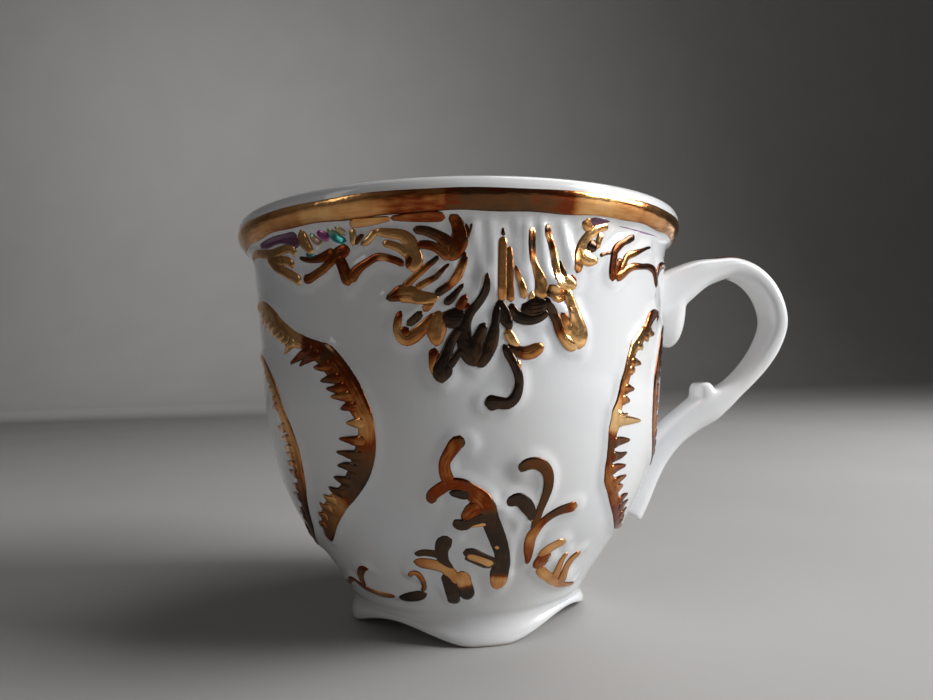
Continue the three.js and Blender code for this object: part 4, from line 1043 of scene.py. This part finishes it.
# The gold dash: how finely the strap's line is cut, the part that it takes of those cuts, and its
# half width, how far its middle lies under the crest, half its thickness, and how long it counts as
# for the streaks.
DASH_CUTS = 241
DASH_PART = slice(48, 76)
DASH_HALF_WIDTH = 2.8
DASH_SINK = .1
DASH_ROUND = .24
DASH_STREAK_LENGTH = 7


def strap_line(stations, count):
    """The middle of a strap in metres, its way into the loop, and its thickness and width."""
    off_wall, depth, thick, wide = smooth(stations, count).T
    angle = np.full(count, float(HANDLE_ANGLE))
    middle = round_axis(angle, wall_radius(depth) + off_wall, DRAWN_HEIGHT - depth)
    along = np.gradient(middle, axis=0)
    along /= np.linalg.norm(along, axis=1)[:, None]
    return middle, np.cross(SIDEWAYS, along), thick * MM, wide * MM


def strap_tube(stations, count):
    """A strap as a flattened round section, a superellipse, carried along its middle line."""
    middle, inward, thick, wide = strap_line(stations, count)
    turn = np.arange(STRAP_SIDES) * 2 * math.pi / STRAP_SIDES
    flat = np.sign(np.cos(turn)) * np.abs(np.cos(turn)) ** SQUARENESS
    side = np.sign(np.sin(turn)) * np.abs(np.sin(turn)) ** SQUARENESS
    rings = middle[:, None] + inward[:, None] * (flat * thick[:, None] / 2)[..., None]
    rings = rings + SIDEWAYS * (side * wide[:, None] / 2)[..., None]
    return tube(rings)


def joint_pad(angle_reach, depth_from, depth_to):
    """A thin slab of clay just under the wall round a root of the handle, so that the root flows
    into the wall when the handle is rounded off. From above it is an ellipse, and its section is
    one too."""
    angle = np.linspace(HANDLE_ANGLE - angle_reach, HANDLE_ANGLE + angle_reach, 24)
    turn = np.linspace(0, 2 * math.pi, 48, endpoint=False)
    middle = (depth_from + depth_to) / 2
    half = (depth_to - depth_from) / 2
    edge = np.sqrt(np.clip(1 - ((angle - HANDLE_ANGLE) / angle_reach) ** 2, .02, 1))[:, None]
    depth = middle + half * edge * np.cos(turn)
    lift = PAD_LIFT + PAD_ROUND * np.sin(turn)
    return tube(on_wall(angle[:, None] + 0 * depth, depth, lift))


def handle():
    """Loop, leaf and spur run together as slip-joined clay: the tubes become one skin of small
    even faces, which is then smoothed so that every meeting of two of them is a soft fillet."""
    surfaces = [strap_tube(STRAP, 150), strap_tube(LEAF, 40), strap_tube(SPUR, 30)]
    surfaces += [joint_pad(11, 5, 25), joint_pad(12, 38, 58)]
    made = piece("handle_porcelain", surfaces, PORCELAIN, ["handle"])
    skin = made.modifiers.new("one_skin", "REMESH")
    skin.mode = "VOXEL"
    skin.voxel_size = SKIN_CELL * MM
    skin.use_smooth_shade = True
    soften = made.modifiers.new("soften", "SMOOTH")
    soften.factor = .5
    soften.iterations = SOFTEN_ROUNDS
    return made


def handle_gilding():
    """A dash of gold along the crest of the loop: a lens-shaped section bent to the crown of the
    strap, which falls away from the middle as the strap's superellipse does."""
    middle, inward, thick, wide = (values[DASH_PART] for values in strap_line(STRAP, DASH_CUTS))
    top = middle - inward * (thick[:, None] / 2 - DASH_SINK * MM)
    count = len(top)
    share = np.linspace(0, 1, count)
    half = DASH_HALF_WIDTH * np.sqrt(np.clip(1 - (2 * share - 1) ** 4, .01, 1))
    turn = np.arange(LENS_SIDES) * 2 * math.pi / LENS_SIDES
    aside = half[:, None] * np.cos(turn) * MM
    crown = (1 - (2 * np.abs(aside) / wide[:, None]) ** (2 / SQUARENESS)) ** (SQUARENESS / 2)
    fall = (1 - crown) * thick[:, None] / 2 + DASH_ROUND * MM * np.sin(turn)
    rings = top[:, None] + SIDEWAYS * aside[..., None] + inward[:, None] * fall[..., None]
    # Painted reflection: the tone runs from brown to bright gold along the dash, as its glint did.
    tone = np.interp(share, (0, .5, 1), (.6, .5, .05))
    across = np.tile(np.cos(turn), (count, 1))
    marks = lens_marks(tone, DASH_STREAK_LENGTH * share, across, 0, turn)
    return piece("handle_gold_dash", [tube(rings)], BRIGHT_GOLD, ["handle_gilding"], marks)


# ---------- gilding and enamel ----------

# A stroke: its height over the clay and the width from which it has it, how bluff its dome is, how
# deep its underside is, how far it is sunk, and how much higher each next stroke lies, up to a limit.
GOLD_RISE = .21
FULL_WIDTH = 1.1
DOME = .55
UNDERSIDE = .12
SINK = .05
LAYER = .012
TOP_LAYER = 8
STREAK_SHIFT = 3.7


def brush_stroke(line, seed):
    """A stroke as a closed lens: its section is a dome over a shallow underside that lies just in
    the clay, as wide as the line says, and rounded off at both ends by a quarter ellipse."""
    angle, depth, width, tone = line.T
    length = running_length(line)
    to_end = np.minimum(length, length[-1] - length) / np.maximum(width / 2, .1)
    rounded = np.sqrt(1 - (1 - np.clip(to_end, .02, 1)) ** 2)
    half = width / 2 * rounded
    turn = np.arange(LENS_SIDES) * 2 * math.pi / LENS_SIDES
    aside = half[:, None] * np.cos(turn)
    rise = GOLD_RISE * np.minimum(1, width / FULL_WIDTH) * rounded
    high = np.abs(np.sin(turn))
    up = np.where(np.sin(turn) > 0, rise[:, None] * high ** DOME, -UNDERSIDE * high)
    lift = up - SINK + LAYER * min(seed, TOP_LAYER)
    across = across_line(line)
    rings = on_wall(
        angle[:, None] + aside * across[:, :1], depth[:, None] + aside * across[:, 1:], lift,
    )
    return tube(rings), lens_marks(tone, length, aside, STREAK_SHIFT * seed, turn)


def laid_on(name, lines, material, replaces, half):
    """One piece of gilding or enamel: its strokes on the front half, or half a turn round."""
    turned = [line + (HALF_TURN * half, 0, 0, 0) for line in lines]
    surfaces, marks = zip(*(brush_stroke(line, seed) for seed, line in enumerate(turned)))
    joined = {mark: np.concatenate([own[mark] for own in marks]) for mark in marks[0]}
    return piece(name, surfaces, material, replaces, joined)


# How the tone of the band goes round half the cup: (angle, tone). It is painted reflection, laid the same
# again on the other half.
BAND_REFLECTION_TONES = [
    (-90, .3), (-72, .26), (-58, .3), (-48, .34), (-44, .22), (-36, .2), (-28, .3), (-23, .42), (-19, .5),
    (-11.5, .52), (-10.5, .7), (-3, .76), (6, .7), (15, .62), (17, .24), (22, .16), (30, .28), (44, .3),
    (58, .22), (74, .3), (90, .3),
]

BAND_COLUMNS = 480
BAND_SIDES = 16
BAND_TOP = 1.75
BAND_LOW = 4.75
BAND_RISE = .13
BAND_SINK = .04
BAND_STREAK_DEPTH = 3


def rim_band():
    """The gold band under the lip: a flat lens carried right round, its edges wavering as the brush did by
    sums of sines. Its tone, painted reflection, wanders slowly round the cup, the same on both halves, and
    is brighter by the lip."""
    angle = HANDLE_ANGLE + np.arange(BAND_COLUMNS) * 360 / BAND_COLUMNS
    turn = np.arange(BAND_SIDES) * 2 * math.pi / BAND_SIDES
    a = np.radians(angle)
    top = BAND_TOP + .05 * np.sin(7 * a + 1) + .04 * np.sin(17 * a)
    low = BAND_LOW + .1 * np.sin(9 * a) + .07 * np.sin(23 * a + 2)
    middle, half = (top + low) / 2, (low - top) / 2
    depth = middle[:, None] + half[:, None] * np.sign(np.cos(turn)) * np.abs(np.cos(turn)) ** .7
    high = np.abs(np.sin(turn))
    up = np.where(np.sin(turn) > 0, BAND_RISE * high ** .5, -UNDERSIDE * high) - BAND_SINK
    rings = on_wall(angle[:, None] + 0 * depth, depth, up + 0 * depth)
    drawn_at = np.mod(angle + QUARTER_TURN, HALF_TURN) - QUARTER_TURN
    band_reflection_tone = np.interp(drawn_at, *np.array(BAND_REFLECTION_TONES).T)
    tone = band_reflection_tone[:, None] + .03 * np.sin(13 * a)[:, None] - .1 * (np.cos(turn) < -.6)
    along = wall_radius(BAND_STREAK_DEPTH) * a[:, None] + 0 * depth
    marks = {
        "tone": tone.ravel(),
        "edge": (np.abs(np.cos(turn)) + 0 * depth).ravel(),
        "brush": np.stack([along, depth, 0 * depth], -1).reshape(-1, 3),
    }
    return piece("rim_gold_band", [closed_ring(rings)], BRIGHT_GOLD, ["rim_band"], marks)


DARK_MOTIFS = (
    "palmette_leaf_low", "palmette_stem", "swag_left", "swag_right", "scroll_left", "spray_stem",
    "spray_leaf_right", "ground_line_left",
)


def lay_ornament():
    """Every motif of both halves, each but the lustre spots in place of its own CAD node."""
    for half, side in enumerate(("front", "back")):
        for name, strokes in GILDING.items():
            lines = [painted(points) for points in strokes]
            dark = name in DARK_MOTIFS
            gold, slot = (DARK_GOLD, "dark_gold") if dark else (BRIGHT_GOLD, "bright_gold")
            laid_on(f"gilt_{side}_{name}", lines, gold, [f"{side}_{name}"], half)
        for seed, (name, crescent) in enumerate(CRESCENTS.items()):
            teeth = [line_on_wall(tooth, STROKE_STEP) for tooth in teeth_of(crescent, seed)]
            lines = [strip_of(crescent), *teeth]
            laid_on(f"gilt_{side}_{name}", lines, BRIGHT_GOLD, [f"{side}_{name}"], half)
        for name, strokes in ENAMEL.items():
            lines = [line_on_wall(points, STROKE_STEP) for points in strokes]
            laid_on(f"glass_{side}_{name}", lines, ENAMEL_GLASS, [f"{side}_{name}"], half)
        spots = [line_on_wall(points, STROKE_STEP) for points in LUSTRE]
        laid_on(f"lustre_{side}_spots", spots, LUSTRE_FILM, [], half)


# ---------- floor, light and camera ----------

# The paper, in metres: half its width, how far it runs in front and behind, the radius of its bend
# and how high it goes on from there.
PAPER_HALF_WIDTH = 3.2
PAPER_FRONT = 2.2
PAPER_BACK = .99
PAPER_BEND = .35
PAPER_RISE = 1.2

# Soft lights: (name, place, what it faces, width, height, watts, colour). None is the cup's middle.
LIGHTS = [
    ("key_right", (.50, -.17, .30), None, .32, .32, 5.0, (1, .995, .985)),
    ("overhead", (.3, .05, .7), None, .4, .4, 1.3, (1, 1, 1)),
    ("backdrop_glow", (-.3, .6, .55), (-.25, 1.3, .6), .6, .5, 2.8, (1, 1, 1)),
    ("window_left", (-.5, -.2, .3), None, .1, .3, .14, (1, .95, .92)),
]
ROOM_COLOUR = (.52, .49, .48, 1)
ROOM_STRENGTH = .13

# The camera: millimetres from the axis and above the floor, degrees round from the front towards
# the side opposite the handle, the degrees that it is turned, tipped and rolled, and its lens.
CAMERA_STAND = 132.7
CAMERA_HEIGHT = 44.0
CAMERA_BEARING = 8.5
CAMERA_YAW, CAMERA_PITCH, CAMERA_ROLL = 8.88, 1.53, -1.44
CAMERA_LENS, CAMERA_FILM = 27.0, 36
NEAREST_SEEN = .005


def studio_floor():
    """A sheet that lies flat under the cup and sweeps up behind it: a straight run, a quarter
    circle and a straight rise, carried sideways."""
    turn = np.linspace(0, math.pi / 2, 24)
    far = PAPER_BACK + PAPER_BEND
    y = np.concatenate([[-PAPER_FRONT], PAPER_BACK + PAPER_BEND * np.sin(turn), [far]])
    z = np.concatenate([[0], PAPER_BEND * (1 - np.cos(turn)), [PAPER_BEND + PAPER_RISE]])
    x = np.array([-PAPER_HALF_WIDTH, PAPER_HALF_WIDTH])
    points = np.stack(np.broadcast_arrays(x[None], y[:, None], z[:, None]), -1).reshape(-1, 3)
    row = np.arange(len(y) - 1) * 2
    mesh = bpy.data.meshes.new("studio_floor")
    mesh.from_pydata(points.tolist(), [], np.stack([row, row + 1, row + 3, row + 2], 1).tolist())
    mesh.shade_smooth()
    mesh.materials.append(paper_floor())
    made = bpy.data.objects.new("studio_floor", mesh)
    bpy.context.scene.collection.objects.link(made)


def softbox(name, place, target, width, height, watts, colour):
    """A rectangular area light that faces the target."""
    light = bpy.data.lights.new(name, "AREA")
    light.shape = "RECTANGLE"
    light.size, light.size_y = width, height
    light.energy = watts
    light.color = colour
    made = bpy.data.objects.new(name, light)
    made.location = place
    made.rotation_euler = (Vector(target) - Vector(place)).to_track_quat("-Z", "Y").to_euler()
    bpy.context.scene.collection.objects.link(made)


def studio_light():
    """A soft light on the right, a weak one above, a glow on the paper behind, a faint one on the
    left, and a dim grey room."""
    middle = (AXIS_X, AXIS_Y, .5 * cup_high.z)
    for name, place, target, *settings in LIGHTS:
        softbox(name, place, target or middle, *settings)
    world = bpy.data.worlds.new("grey_room")
    world.use_nodes = True
    room = world.node_tree.nodes["Background"].inputs
    room["Color"].default_value = ROOM_COLOUR
    room["Strength"].default_value = ROOM_STRENGTH
    bpy.context.scene.world = world


def camera():
    """Close to the cup, a little below its rim, turned and rolled by small angles."""
    yaw, pitch, roll = map(math.radians, (CAMERA_YAW, CAMERA_PITCH, CAMERA_ROLL))
    forward = Vector((math.sin(yaw) * math.cos(pitch), math.cos(yaw) * math.cos(pitch), math.sin(pitch)))
    level = Vector((math.cos(yaw), -math.sin(yaw), 0))
    up = level.cross(forward)
    right = math.cos(roll) * level + math.sin(roll) * up
    above = math.cos(roll) * up - math.sin(roll) * level
    data = bpy.data.cameras.new("camera")
    data.lens = CAMERA_LENS
    data.sensor_width = CAMERA_FILM
    data.clip_start = NEAREST_SEEN
    made = bpy.data.objects.new("camera", data)
    made.rotation_euler = Matrix((right, above, -forward)).transposed().to_euler()
    made.location = round_axis(-CAMERA_BEARING, CAMERA_STAND, CAMERA_HEIGHT)
    bpy.context.scene.collection.objects.link(made)
    bpy.context.scene.camera = made


cup_body()
handle()
handle_gilding()
rim_band()
lay_ornament()
studio_floor()
studio_light()
camera()
bpy.context.scene.view_settings.view_transform = "Standard"
